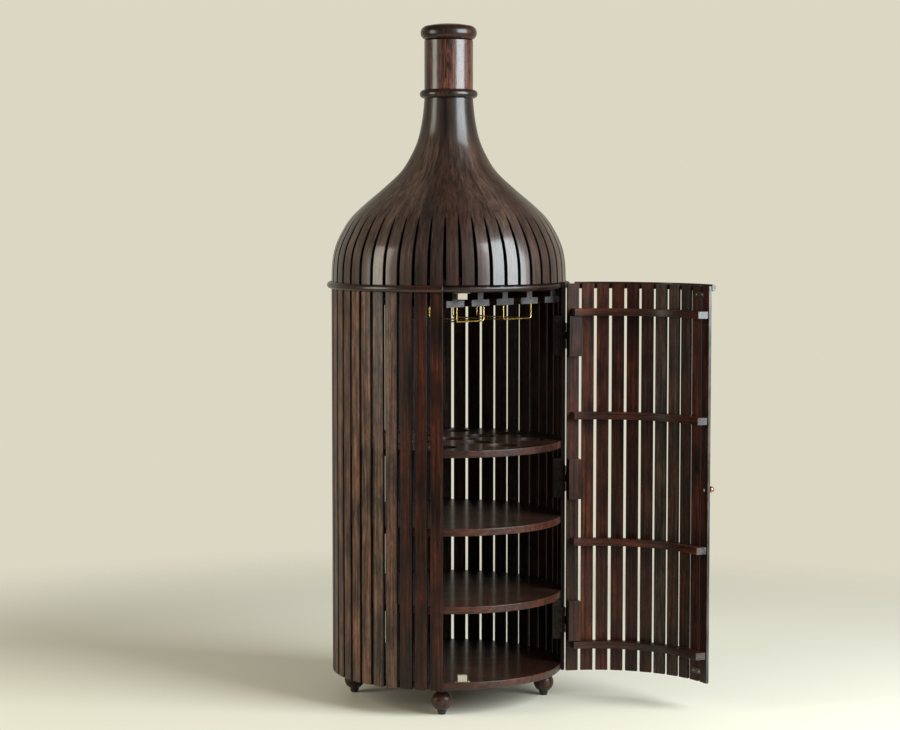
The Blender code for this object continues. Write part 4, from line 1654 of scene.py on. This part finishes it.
    def cap(self, stock: Stock, radius: float, z: float) -> None:
        """Close the round opening at a radius and height.

        Args:
            stock: The dome's stock.
            radius: Radius of the opening.
            z: Its height.
        """
        near = 2 * self.weld_step
        rim = [
            i for i, point in enumerate(stock.points)
            if abs(point.z - z) < near and abs(math.hypot(point.x, point.y) - radius) < near
        ]
        rim.sort(key=lambda i: math.atan2(stock.points[i].y, stock.points[i].x))
        stock.faces.append(tuple(rim))
        stock.grain += [level_grain(stock.points[i]) for i in rim]
        stock.stains.append(Stain(139, *self.cap_look))


@dataclass
class Neck(SubAssembly):
    """Collar bead, neck tube and lip."""

    bead_height: float = 0.021
    bead_proud: float = 0.0116
    tube_height: float = 0.1225
    tube_ease: float = 0.0008
    lip_height: float = 0.040
    lip_proud: float = 0.0095
    lip_crown: float = 0.004
    crown_reach: float = 0.55
    crown_steps: tuple[float, ...] = (0.15, 0.3, 0.5, 0.75, 1.0)
    sides: int = 96

    def bead(self) -> Section:
        """Profile of the collar bead.

        Returns:
            The (radius, height) points.
        """
        radius = self.bead_height / 2
        centre = self.layout.neck_radius + self.bead_proud - radius
        return [(0, 0), *arc((centre, radius), (radius, radius), -90, 90, 16), (0, self.bead_height)]

    def tube(self) -> Section:
        """Profile of the neck tube, with eased rims."""
        return pillar(self.layout.neck_radius, 0, self.tube_height, self.tube_ease)

    def lip(self) -> Section:
        """Profile of the lip, whose round side ends in a slight crown.

        Returns:
            The (radius, height) points.
        """
        side = self.lip_height - self.lip_crown
        radius = side / 2
        centre = self.layout.neck_radius + self.lip_proud - radius
        crown = [
            (centre * (1 - t * self.crown_reach), side + self.lip_crown * math.sin(t * math.pi / 2))
            for t in self.crown_steps
        ]
        return [(0, 0), *arc((centre, radius), (radius, radius), -90, 90, 18), *crown, (0, self.lip_height)]

    def build(self) -> None:
        """Make the three turned pieces."""
        z = self.layout.dome_crown + self.layout.seat
        for name, node, profile, finish, look in (
            ("neck_collar", "neck_bead", self.bead(), Finish.SLATS, Stain(141, 0.4, 0.6, 0.6)),
            ("neck_turning", "neck_tube", self.tube(), Finish.NECK, Stain(142, 0.82, 0.85, 0.72)),
            ("bottle_lip", "neck_lip", self.lip(), Finish.SLATS, Stain(143, 0.4, 0.75, 0.6)),
        ):
            place = Matrix.Translation((0, 0, z))
            self.keep_shape(name, turned(profile, self.sides), place, upright_grain, look, finish, node)
            z += profile[-1][1] + self.layout.seat


@dataclass
class Feet(SubAssembly):
    """Turned ball feet and their glides."""

    ring: float = 0.241
    bearing: float = -4.0
    ball_radius: float = 0.0253
    ball_height: float = 0.045
    collar_radius: float = 0.0145
    collar_height: float = 0.0024
    collar_taper: float = 0.0006
    neck_radius: float = 0.0115
    neck_fillet: float = 0.0006
    tenon_radius: float = 0.008
    tenon_height: float = 0.012
    glide_height: float = 0.011
    glide_top: float = 0.0115
    glide_bottom: float = 0.009
    glide_flare: float = 0.0004
    glide_flare_height: float = 0.003
    glide_shoulder: float = 0.002
    ease: float = 0.001
    foot_sides: int = 64
    glide_sides: int = 40
    gloss: float = 0.22
    looks: tuple[tuple[str, float, float], ...] = (
        ("front", 1.1, 0.6), ("right", 1.1, 0.65), ("back", 0.9, 0.5), ("left", 0.35, 0.4),
    )

    @property
    def ball_bottom(self) -> float:
        """Height of the ball's flat underside."""
        return self.glide_height + self.layout.seat - self.layout.foot_height

    def foot(self) -> Section:
        """Profile of a foot, from its tenon down over its collar and ball.

        Returns:
            The (radius, height) points.
        """
        seat = self.layout.seat
        low = self.ball_bottom
        middle = low + self.ball_height / 2
        flat = math.degrees(math.acos(self.glide_top / self.ball_radius))
        neck = math.degrees(math.acos(self.neck_radius / self.ball_radius))
        tall = self.ball_height / 2 / math.sin(math.radians(flat))
        ball = list(reversed(arc((0, middle), (self.ball_radius, tall), -flat, neck, 22)))
        return [
            (0, self.tenon_height), (self.tenon_radius, self.tenon_height), (self.tenon_radius, -seat),
            (self.collar_radius - self.ease, -seat), (self.collar_radius, -seat - self.ease),
            (self.collar_radius - self.collar_taper, -seat - self.collar_height),
            (self.neck_radius, ball[0][1] + self.neck_fillet), *ball, (0, low),
        ]

    def glide(self) -> Section:
        """Profile of a glide, from the floor up.

        Returns:
            The (radius, height) points.
        """
        floor = -self.layout.foot_height
        top = self.ball_bottom - self.layout.seat
        return [
            (0, floor), (self.glide_bottom - self.ease, floor), (self.glide_bottom, self.ease + floor),
            (self.glide_bottom + self.glide_flare, self.glide_flare_height + floor),
            (self.glide_top, top - self.glide_shoulder), (self.glide_top - self.glide_flare, top), (0, top),
        ]

    def build(self) -> None:
        """Make the four feet and the four glides."""
        for i, (side, tone, warmth) in enumerate(self.looks):
            place = Matrix.Translation(polar(self.ring, self.bearing + 90 * i))
            foot = turned(self.foot(), self.foot_sides)
            look = Stain(150 + i, tone, warmth, self.gloss)
            self.keep_shape(
                f"ball_foot_{side}", foot, place, upright_grain, look, Finish.SLATS, f"foot_{side}"
            )
            glide = turned(self.glide(), self.glide_sides)
            look = Stain(155 + i)
            self.keep_shape(
                f"floor_glide_{side}", glide, place, level_grain, look, Finish.GLIDES, f"glide_{side}"
            )


@dataclass
class StemwareRack(SubAssembly):
    """Upside-down T rails under the top board, and two brass wire hangers."""

    bearing: float = 45.0
    count: int = 5
    spacing: float = 0.0868
    rim_gap: float = 0.001
    flange_width: float = 0.062
    flange_height: float = 0.016
    web_width: float = 0.020
    web_height: float = 0.020
    wire_radius: float = 0.00175
    wire_drop: float = 0.0355
    wire_setback: float = 0.008
    wire_length: float = 0.182
    left_shifts: Pair = (0.0121, 0.0188)
    right_shifts: Pair = (0.0016, 0.0133)
    wire_sides: int = 14
    bend: float = 0.006
    bend_steps: int = 8
    rail_edge: float = 0.0011
    rail_ease: float = 0.0009
    tone: float = 0.8
    warmth: float = 0.4
    # Lightness and polish of the rails' cut ends, painted pale grey as the window's reflection; their gloss
    # is real
    end_sheen_tone: float = 0.82
    end_gloss: float = 0.4

    @property
    def end(self) -> float:
        """Half the length of a rail, whose corners reach just short of the boards' rim."""
        half = ((self.count - 1) * self.spacing + self.flange_width) / 2
        return math.sqrt((self.layout.board_radius - self.rim_gap) ** 2 - half ** 2)

    def offset(self, index: int) -> float:
        """Sideways place of a rail."""
        return (index - (self.count - 1) / 2) * self.spacing

    def build(self) -> None:
        """Make the rails and the hangers."""
        layout = self.layout
        top = layout.board_heights[-1] - layout.seat
        low = top - self.web_height - self.flange_height
        flange = self.flange_width / 2
        web = self.web_width / 2
        outline = [
            (0, -flange), (self.flange_height, -flange), (self.flange_height, -web), (top - low, -web),
            (top - low, web), (self.flange_height, web), (self.flange_height, flange), (0, flange),
        ]
        section = softened(outline, self.rail_edge)
        lying = Matrix(((0, 0, 1, 0), (0, 1, 0, 0), (1, 0, 0, 0), (0, 0, 0, 1)))
        for i in range(self.count):
            bar = upright_bar(section, -self.end, self.end, self.rail_ease)
            own = Stain(160 + i, self.tone, self.warmth)
            # The rails' cut ends are painted pale grey as a reflection of the window
            look = sheened_ends(own, replace(own, tone=self.end_sheen_tone, warmth=END_SHEEN_WARMTH, gloss=self.end_gloss))
            place = facing(self.bearing, 0, self.offset(i), low) @ lying
            name, node = f"stemware_rail_{i + 1}", f"glass_rail_{i + 1}"
            self.keep_shape(name, bar, place, upright_grain, look, Finish.SLATS, node)
        for name, first, shifts in (
            ("wire_hanger_left", 0, self.left_shifts), ("wire_hanger_right", 2, self.right_shifts),
        ):
            left = self.offset(first) + shifts[0]
            right = self.offset(first + 1) + shifts[1]
            self.hang_wire(name, left, right, low - layout.seat)

    def hang_wire(self, name: str, left: float, right: float, top: float) -> None:
        """Make one hanger: a hoop across the front, and a wire back along each side.

        Args:
            name: The solid that it stands for.
            left: Sideways place of its left end.
            right: Sideways place of its right end.
            top: Height of the rails' undersides.
        """
        low = top - self.wire_drop
        front = self.end - self.wire_setback
        back = front - self.wire_length
        runs = [[(front, left, top), (front, left, low), (front, right, low), (front, right, top)]]
        for side in (left + self.bend, right - self.bend):
            runs.append([(front, side, low), (back, side, low), (back, side, top)])
        stock = Stock()
        for run in runs:
            wire = tube(self.rounded(run), self.wire_radius, self.wire_sides)
            stock.add(wire, facing(self.bearing), level_grain, Stain(165))
        self.keep(f"{name}_brass", stock, Finish.BRASS, (name,))

    def rounded(self, corners: Sequence[Triple]) -> list[Vector]:
        """Points along straight runs, with an arc at each inner corner.

        Args:
            corners: Ends and corners of the wire.

        Returns:
            Points along it.
        """
        points = [Vector(corners[0])]
        for before, corner, after in zip(corners, corners[1:], corners[2:]):
            here = Vector(corner)
            back = (Vector(before) - here).normalized()
            ahead = (Vector(after) - here).normalized()
            centre = here + (back + ahead) * self.bend
            for i in range(self.bend_steps + 1):
                angle = math.pi / 2 * i / self.bend_steps
                cos, sin = math.cos(angle), math.sin(angle)
                points.append(centre - ahead * self.bend * cos - back * self.bend * sin)
        points.append(Vector(corners[-1]))
        return points


@dataclass(frozen=True)
class Screw:
    """Low domed screw head, one on each side of a plate's middle."""

    aside: float
    radius: float
    height: float
    shape: Pairs = ((1.0, 0.0), (0.92, 0.55), (0.6, 0.9))
    sides: int = 20

    def head(self) -> Shape:
        """The head, standing on height 0."""
        dome = [(self.radius * across, self.height * up) for across, up in self.shape]
        return turned([(0, 0), *dome, (0, self.height)], self.sides)


@dataclass
class Catches(SubAssembly):
    """Magnetic catches on the boards, and the strike plates on the door."""

    bearing: float = 6.75
    width: float = 0.023
    depth: float = 0.015
    height: float = 0.0145
    edge: float = 0.0008
    ease: float = 0.0007
    plate_width: float = 0.038
    plate_depth: float = 0.013
    plate_thickness: float = 0.0012
    plate_edge: float = 0.0015
    plate_ease: float = 0.0002
    plate_screw: Screw = Screw(aside=0.01525, radius=0.0025, height=0.0009)
    gap: float = 0.0008
    strike_width: float = 0.034
    strike_height: float = 0.014
    strike_thickness: float = 0.001
    strike_ease: float = 0.0003
    strike_screw: Screw = Screw(aside=0.011, radius=0.0028, height=0.0007)
    strike_tone: float = 0.3

    def build(self) -> None:
        """Make the blocks, plates and strikes at the top and the bottom."""
        layout = self.layout
        plane = layout.strike_plane(self.strike_width)
        front = plane - self.strike_thickness - self.gap
        for name, face, up in (("top", layout.board_heights[-1], -1), ("bottom", layout.board, 1)):
            middle = face + up * (2 * layout.seat + self.plate_thickness + self.height / 2)
            self.add_block(name, front, middle)
            self.add_plate(name, front - self.depth / 2, face, up)
            self.add_strike(name, plane, middle)

    def add_block(self, name: str, front: float, middle: float) -> None:
        """Make a magnet's block.

        Args:
            name: Which of the two it is.
            front: Distance from the axis to its front.
            middle: Its height.
        """
        section = soft_box((-self.depth, -self.width / 2), (0, self.width / 2), self.edge)
        half = self.height / 2
        block = upright_bar(section, -half, half, self.ease)
        place = facing(self.bearing, front, 0, middle)
        name, node = f"magnet_block_{name}", f"catch_block_{name}"
        self.keep_shape(name, block, place, level_grain, Stain(170), Finish.CATCHES, node)

    def add_plate(self, name: str, centre: float, face: float, up: int) -> None:
        """Make the plate between a block and its board, with its two screws.

        Args:
            name: Which of the two it is.
            centre: Distance from the axis to its middle.
            face: Height of the board's face.
            up: 1 where it lies on the board, -1 where it hangs below.
        """
        corner = (self.plate_depth / 2, self.plate_width / 2)
        section = soft_box((-corner[0], -corner[1]), corner, self.plate_edge)
        half = self.plate_thickness / 2
        plate = upright_bar(section, -half, half, self.plate_ease)
        seat = face + up * (self.layout.seat + half)
        stock = Stock()
        stock.add(plate, facing(self.bearing, centre, 0, seat), level_grain, Stain(171))
        out = face + up * (self.layout.seat + 2 * half)
        turn = Matrix.Rotation(0.0 if up > 0 else math.pi, 4, "X")
        for side in (-1, 1):
            place = facing(self.bearing, centre, side * self.plate_screw.aside, out)
            stock.add(self.plate_screw.head(), place @ turn, level_grain, Stain(172))
        self.keep(f"magnet_plate_{name}", stock, Finish.STEEL, (f"catch_plate_{name}",))

    def add_strike(self, name: str, plane: float, middle: float) -> None:
        """Make a strike plate with its two screws.

        Args:
            name: Which of the two it is.
            plane: Distance from the axis to its back.
            middle: Its height.
        """
        swing = self.layout.swing
        edge = self.strike_width / 2
        section = soft_box((-self.strike_thickness, -edge), (0, edge), self.strike_ease)
        half = self.strike_height / 2
        plate = upright_bar(section, -half, half, self.strike_ease)
        place = swing @ facing(self.bearing, plane, 0, middle)
        stock = Stock()
        stock.add(plate, place, level_grain, Stain(173, self.strike_tone))
        out = plane - self.strike_thickness
        turn = Matrix.Rotation(-math.pi / 2, 4, "Y")
        for side in (-1, 1):
            place = facing(self.bearing, out, side * self.strike_screw.aside, middle)
            stock.add(self.strike_screw.head(), swing @ place @ turn, level_grain, Stain(174))
        self.keep(f"strike_{name}", stock, Finish.STEEL, (f"strike_plate_{name}",), Carrier.DOOR)


@dataclass
class Hinges(SubAssembly):
    """Three butt hinges in the gap between the door and the body."""

    leaf_thickness: float = 0.0012
    leaf_width: float = 0.024
    knuckle_radius: float = 0.0032
    knuckle_gap: float = 0.0004
    pin_radius: float = 0.0015
    pin_head_radius: float = 0.0026
    pin_head_height: float = 0.0016
    pin_head_shape: Pairs = ((1.0, 0.0), (0.85, 0.7), (0.5, 1.0))
    leaf_edge: float = 0.0003
    tooth_ease: float = 0.0002
    tooth_lap: float = 0.001
    barrel_sides: int = 28
    pin_sides: int = 20

    def leaf(self, knuckles: tuple[int, ...]) -> list[Shape]:
        """Plates and barrels of a leaf in its slat's frame, with the origin on the pin.

        Args:
            knuckles: Which of the three knuckles it has, from the bottom up.

        Returns:
            The leaf's shapes.
        """
        layout = self.layout
        tall = layout.hinge_height
        each = tall / 3
        to_edge = layout.slat_radius * math.sin(math.radians(layout.pitch / 2)) - layout.slat_width / 2
        low_y = layout.seat - to_edge
        high_y = low_y + self.leaf_thickness
        root = -self.knuckle_radius - 2 * self.knuckle_gap
        ease = self.leaf_edge
        plate = soft_box((-self.leaf_width, low_y), (root, high_y), ease, 2)
        shapes = [upright_bar(plate, -tall / 2, tall / 2, ease)]
        for i in knuckles:
            low = i * each - tall / 2 + (self.knuckle_gap if i else 0.0)
            high = (i + 1) * each - tall / 2 - (self.knuckle_gap if i < 2 else 0.0)
            tooth = soft_box((root - self.tooth_lap, low_y), (0.0, high_y), ease, 2)
            shapes.append(upright_bar(tooth, low, high, self.tooth_ease))
            low = i * each + self.knuckle_gap - tall / 2
            high = (i + 1) * each - self.knuckle_gap - tall / 2
            shapes.append(turned(pillar(self.knuckle_radius, low, high, ease), self.barrel_sides))
        return shapes

    def pin(self) -> Shape:
        """Pin with a button at each end.

        Returns:
            The pin's mesh.
        """
        half = self.layout.hinge_height / 2 - self.knuckle_gap / 2
        wide = self.pin_head_radius
        cap = self.pin_head_height
        button = [(across * wide, half + up * cap) for across, up in self.pin_head_shape]
        button.append((0, half + cap))
        below = [(radius, -height) for radius, height in reversed(button)]
        shaft = [(self.pin_radius, -half), (self.pin_radius, half)]
        return turned([*below, *shaft, *button], self.pin_sides)

    def build(self) -> None:
        """Make the leaves on both sides."""
        layout = self.layout
        mirror = Matrix.Diagonal((1, -1, 1, 1))
        for label, sign, knuckles, carrier in (
            ("body", 1, (0, 2), Carrier.CABINET), ("door", -1, (1,), Carrier.DOOR),
        ):
            turn = Matrix.Rotation(turn_of(layout.hinge_bearing + sign * layout.pitch / 2), 4, "Z")
            for name, height in layout.hinge_heights.items():
                place = Matrix.Translation(polar(layout.slat_radius, layout.hinge_bearing, height)) @ turn
                if carrier is Carrier.DOOR:
                    place = layout.swing @ place
                leaf = f"hinge_leaf_{label}_{name}"
                stock = Stock()
                for shape in self.leaf(knuckles):
                    if sign > 0:
                        bmesh.ops.transform(shape, matrix=mirror, verts=shape.verts)
                        bmesh.ops.reverse_faces(shape, faces=shape.faces)
                    stock.add(shape, place, upright_grain, Stain(180))
                if carrier is Carrier.CABINET:
                    stock.add(self.pin(), place, upright_grain, Stain(181))
                self.keep(f"butt_leaf_{label}_{name}", stock, Finish.HINGES, (leaf,), carrier)


@dataclass
class Door(SlatWall):
    """Curved slatted door with its ribs, knob and hinge stile."""

    rib_depth: float = 0.028
    rib_free_margin: float = 0.4
    rib_hinge_margin: float = 2.2
    rib_edge: float = 0.0013
    rib_step: float = 1.6
    rib_ease: float = 0.2
    rib_draw: float = 0.001
    rib_look: Triple = (0.92, 0.85, 0.2)
    # Tone and warmth of each rib's cut ends, painted pale grey as the window's reflection, weaker on the
    # lower ribs
    rib_end_sheens: Pairs = (
        (0.85, END_SHEEN_WARMTH), (0.85, END_SHEEN_WARMTH), (0.8, -0.55), (0.7, -0.35),
    )
    rib_end_gloss: float = 0.8
    knob_drop: float = 0.011
    knob_radius: float = 0.008
    knob_neck_radius: float = 0.0042
    knob_neck_length: float = 0.003
    knob_foot: float = 0.0006
    knob_hollow: float = 0.0004
    knob_sides: int = 40
    screw_head_radius: float = 0.0042
    screw_head_height: float = 0.002
    screw_head_shape: Pairs = ((0.55, 1.0), (0.85, 0.7), (1.0, 0.25))
    screw_sides: int = 24
    inside_shade_tone: float = 1.0
    # Painted pale reflection of the window on the outer edge of the first slat
    free_edge_sheen: Triple = (0.7, -0.7, 0.5)
    block_looks: Pairs = ((0.85, 0.72), (0.85, 0.75), (1.0, 0.78))
    tones: Pairs = (
        (0.60, 1.0), (0.96, 1.0), (0.65, 0.68), (1.00, 0.50), (0.95, 0.18), (0.87, 0.74), (0.68, 0.97),
        (0.74, 1.0), (0.97, 1.0), (1.12, 1.0), (0.76, 0.82),
    )

    def build(self) -> None:
        """Make the slats, the stile, the ribs, and the knob with its screw."""
        layout = self.layout
        inner = layout.door_inner
        thickness = layout.slat_radius - inner
        for i in range(layout.door_slats):
            look = self.stainer(Stain(200 + i, *self.tones[i]), self.inside_shade_tone) if i else self.sheened_free_edge
            bar = self.bar(thickness, layout.door_bottom_gap, layout.door_top)
            stock = Stock()
            place = layout.swing @ facing(layout.slat_bearing(i), layout.slat_radius)
            stock.add(bar, place, upright_grain, look)
            name = f"door_slat_{i + 1:02d}"
            if i == layout.door_slats - 1:
                name = "door_hinge_stile"
                self.add_blocks(stock, -1, inner, layout.swing, 215)
            self.keep(f"{name}_board", stock, Finish.SLATS, (name,), Carrier.DOOR)
        self.build_ribs(inner - layout.seat)
        self.build_knob(thickness)

    def sheened_free_edge(self, face: bmesh.types.BMFace) -> Stain:
        """Look of the first slat, whose outer edge is polished and painted pale grey as a reflection of the
        window.

        Args:
            face: A face of the slat.

        Returns:
            Its look.
        """
        if face.normal.y < -self.nose_slope:
            return Stain(200, *self.free_edge_sheen)
        return self.stainer(Stain(200, *self.tones[0]), self.inside_shade_tone)(face)

    def build_ribs(self, outer: float) -> None:
        """Make the four curved ribs.

        Args:
            outer: Radius of their outer faces.
        """
        layout = self.layout
        start = layout.slot_bearing + layout.half_slot + self.rib_free_margin
        end = layout.hinge_bearing - layout.half_slot - self.rib_hinge_margin
        for i, height in enumerate(layout.rib_heights):
            half = layout.rib_height / 2
            inner = outer - self.rib_depth
            section = soft_box((inner, height - half), (outer, height + half), self.rib_edge)
            bar = sweep(section, round_axis(start, end, self.rib_step, self.rib_ease), self.rib_draw)
            # The ribs' cut ends get a painted pale reflection of the window
            pale = Stain(220 + i, *self.rib_end_sheens[i], self.rib_end_gloss)
            look = sheened_ends(Stain(220 + i, *self.rib_look), pale)
            grain = bent_grain(start, outer)
            name, node = f"curved_rib_{i + 1}", f"door_rib_{i + 1}"
            self.keep_shape(name, bar, layout.swing, grain, look, Finish.SLATS, node, Carrier.DOOR)

    def build_knob(self, thickness: float) -> None:
        """Make the knob and the screw that holds it.

        Args:
            thickness: Thickness of the slat between them.
        """
        layout = self.layout
        height = (layout.door_top + layout.door_bottom_gap) / 2 - self.knob_drop
        along = Matrix.Rotation(math.pi / 2, 4, "Y")
        outwards = layout.slat_radius + layout.seat
        place = layout.swing @ facing(layout.slat_bearing(0), outwards, 0, height) @ along
        middle = self.knob_neck_length + self.knob_radius
        start = math.degrees(math.asin(self.knob_neck_radius / self.knob_radius)) - 90
        radius = self.knob_radius
        ball = arc((0, middle), (radius, radius), start, 90, 24)[:-1]
        foot = self.knob_foot
        wide = self.knob_neck_radius + foot
        profile = [
            (0, 0), (wide, 0), (wide, foot), (self.knob_neck_radius - self.knob_hollow, 2 * foot),
            *ball, (0, middle + radius),
        ]
        knob = turned(profile, self.knob_sides)
        look = Stain(230)
        self.keep_shape("ball_knob", knob, place, level_grain, look, Finish.KNOB, "door_knob", Carrier.DOOR)
        seat = -thickness - 2 * layout.seat
        wide = self.screw_head_radius
        tall = self.screw_head_height
        dome = [(across * wide, seat - drop * tall) for across, drop in self.screw_head_shape]
        head = turned([(0, seat - tall), *dome, (wide, seat), (0, seat)], self.screw_sides)
        name, look = "knob_screw_head", Stain(231)
        self.keep_shape(name, head, place, level_grain, look, Finish.STEEL, "knob_screw", Carrier.DOOR)


# Studio


@dataclass(frozen=True)
class Lamp:
    """Upright rectangular lamp that faces the cabinet's axis.

    It is placed by distance from the axis, bearing and height. Its size is (width, height) and its power is
    in watts.
    """

    name: str
    distance: float
    bearing: float
    height: float
    size: Pair
    power: float
    colour: Colour

    def light(self) -> None:
        """Put the lamp in the scene."""
        data = bpy.data.lights.new(self.name, "AREA")
        data.shape = "RECTANGLE"
        data.size, data.size_y = self.size
        data.energy = self.power
        data.color = self.colour
        place = polar(self.distance, self.bearing, self.height)
        lamp = bpy.data.objects.new(self.name, data)
        lamp.location = place
        lamp.rotation_euler = Vector((-place.x, -place.y, 0)).to_track_quat("-Z", "Y").to_euler()
        bpy.context.collection.objects.link(lamp)


@dataclass
class Studio:
    """Floor, background, camera, a tall window high at the right and a weaker one at the left."""

    layout: Layout
    floor_colour: Colour = (0.89, 0.84, 0.69)
    floor_bounce: Colour = (0.30, 0.27, 0.22)
    wall_colour: Colour = (0.71, 0.68, 0.55)
    wall_shine: float = 0.6
    room_colour: Colour = (0.075, 0.075, 0.072)
    ambient: Colour = (0.28, 0.275, 0.26)
    floor_roughness: float = 0.5
    floor_margin: float = 0.2
    floor_sides: int = 96
    fade_start: float = 1.3
    fade_end: float = 2.6
    behind_span: Pair = (0.2, 0.8)
    above_span: Pair = (0.25, 0.6)
    lamps: tuple[Lamp, ...] = (
        Lamp("window_right", 3.1, 57.5, 2.27, size=(2.3, 2.94), power=252.0, colour=(0.87, 0.955, 1.0)),
        Lamp("window_left", 3.0, -69.0, 1.55, size=(1.2, 2.2), power=48.0, colour=(1.0, 0.98, 0.82)),
    )
    sensor: float = 36.0
    lens: float = 94.59
    camera_place: Triple = (0.0032, -5.938, 1.2067)
    camera_tilt: float = 85.78

    def build(self) -> None:
        """Set up everything round the cabinet."""
        self.build_floor()
        self.build_world()
        for lamp in self.lamps:
            lamp.light()
        self.build_camera()

    @staticmethod
    def seen(bench: ShaderBench, *others: str) -> Signal:
        """1 for rays from the camera, rays through clear material and other named kinds, else 0.

        Args:
            bench: Where the nodes go.
            others: Names of the other kinds.

        Returns:
            The 1 or 0.
        """
        path = bench.node("ShaderNodeLightPath")
        total = bench.out(path, "Is Camera Ray")
        for kind in ("Is Transmission Ray", *others):
            total = bench.math("MAXIMUM", total, bench.out(path, kind))
        return total

    def build_floor(self) -> None:
        """Pale floor that fades into the background."""
        bm = bmesh.new()
        radius = self.fade_end + self.floor_margin
        bmesh.ops.create_circle(bm, cap_ends=True, segments=self.floor_sides, radius=radius)
        mesh = bpy.data.meshes.new("floor")
        bm.to_mesh(mesh)
        bm.free()
        floor = bpy.data.objects.new("floor", mesh)
        floor.location.z = -self.layout.foot_height
        bpy.context.collection.objects.link(floor)
        material, bench = new_bench("pale_floor")
        place = bench.out(bench.node("ShaderNodeTexCoord"), "Object")
        length = bench.out(bench.node("ShaderNodeVectorMath", {"operation": "LENGTH"}, {0: place}), "Value")
        fade = bench.node("ShaderNodeMapRange", {"interpolation_type": "SMOOTHSTEP"}, {
            "Value": length, "From Min": self.fade_start, "From Max": self.fade_end,
        })
        colour = bench.mix(self.seen(bench, "Is Glossy Ray"), self.floor_bounce, self.floor_colour)
        paint = bench.out(bench.node("ShaderNodeBsdfPrincipled", {}, {
            "Base Color": colour, "Roughness": self.floor_roughness,
        }))
        clear = bench.out(bench.node("ShaderNodeBsdfTransparent"))
        mixed = bench.out(bench.node("ShaderNodeMixShader", {}, {0: bench.out(fade), 1: paint, 2: clear}))
        bench.node("ShaderNodeOutputMaterial", {}, {"Surface": mixed})
        mesh.materials.append(material)

    def build_world(self) -> None:
        """Pale wall for what sees it and for reflections from behind, and plain light for the rest."""
        world = bpy.data.worlds.new("studio")
        bpy.context.scene.world = world
        world.use_nodes = True
        bench = ShaderBench(world.node_tree)
        glossy = bench.out(bench.node("ShaderNodeLightPath"), "Is Glossy Ray")
        towards = bench.out(bench.node("ShaderNodeTexCoord"), "Generated")
        _, back, up = bench.parted(towards)
        behind = bench.clamp(back, *self.behind_span) * (1 - bench.clamp(up, *self.above_span))
        mirrored = bench.mix(behind * self.wall_shine, self.room_colour, self.wall_colour)
        colour = bench.mix(glossy, self.ambient, mirrored)
        colour = bench.mix(self.seen(bench), colour, self.wall_colour)
        shader = bench.out(bench.node("ShaderNodeBackground", {}, {"Color": colour, "Strength": 1.0}))
        bench.node("ShaderNodeOutputWorld", {}, {"Surface": shader})

    def build_camera(self) -> None:
        """Camera at the photograph's angle."""
        data = bpy.data.cameras.new("camera")
        data.sensor_width = self.sensor
        data.lens = self.lens
        camera = bpy.data.objects.new("camera", data)
        camera.location = self.camera_place
        camera.rotation_euler = (math.radians(self.camera_tilt), 0.0, 0.0)
        bpy.context.collection.objects.link(camera)
        bpy.context.scene.camera = camera


def main() -> None:
    """Load the solid model, build and dress every sub-assembly, and set the studio."""
    logging.basicConfig(level=logging.INFO, format="%(message)s")
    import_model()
    bpy.context.scene.view_settings.view_transform = "Standard"
    materials = {finish: finish.value.material() for finish in Finish}
    layout = Layout()
    for assembly in (
        SlatWall(layout), RoundBoards(layout), WaistBead(layout), Dome(layout), Neck(layout), Feet(layout),
        StemwareRack(layout), Catches(layout), Hinges(layout), Door(layout),
    ):
        assembly.build()
        assembly.dress(materials)
        LOG.info("%s: %d pieces", type(assembly).__name__, len(assembly.pieces))
    Studio(layout).build()


if __name__ == "__main__":
    main()
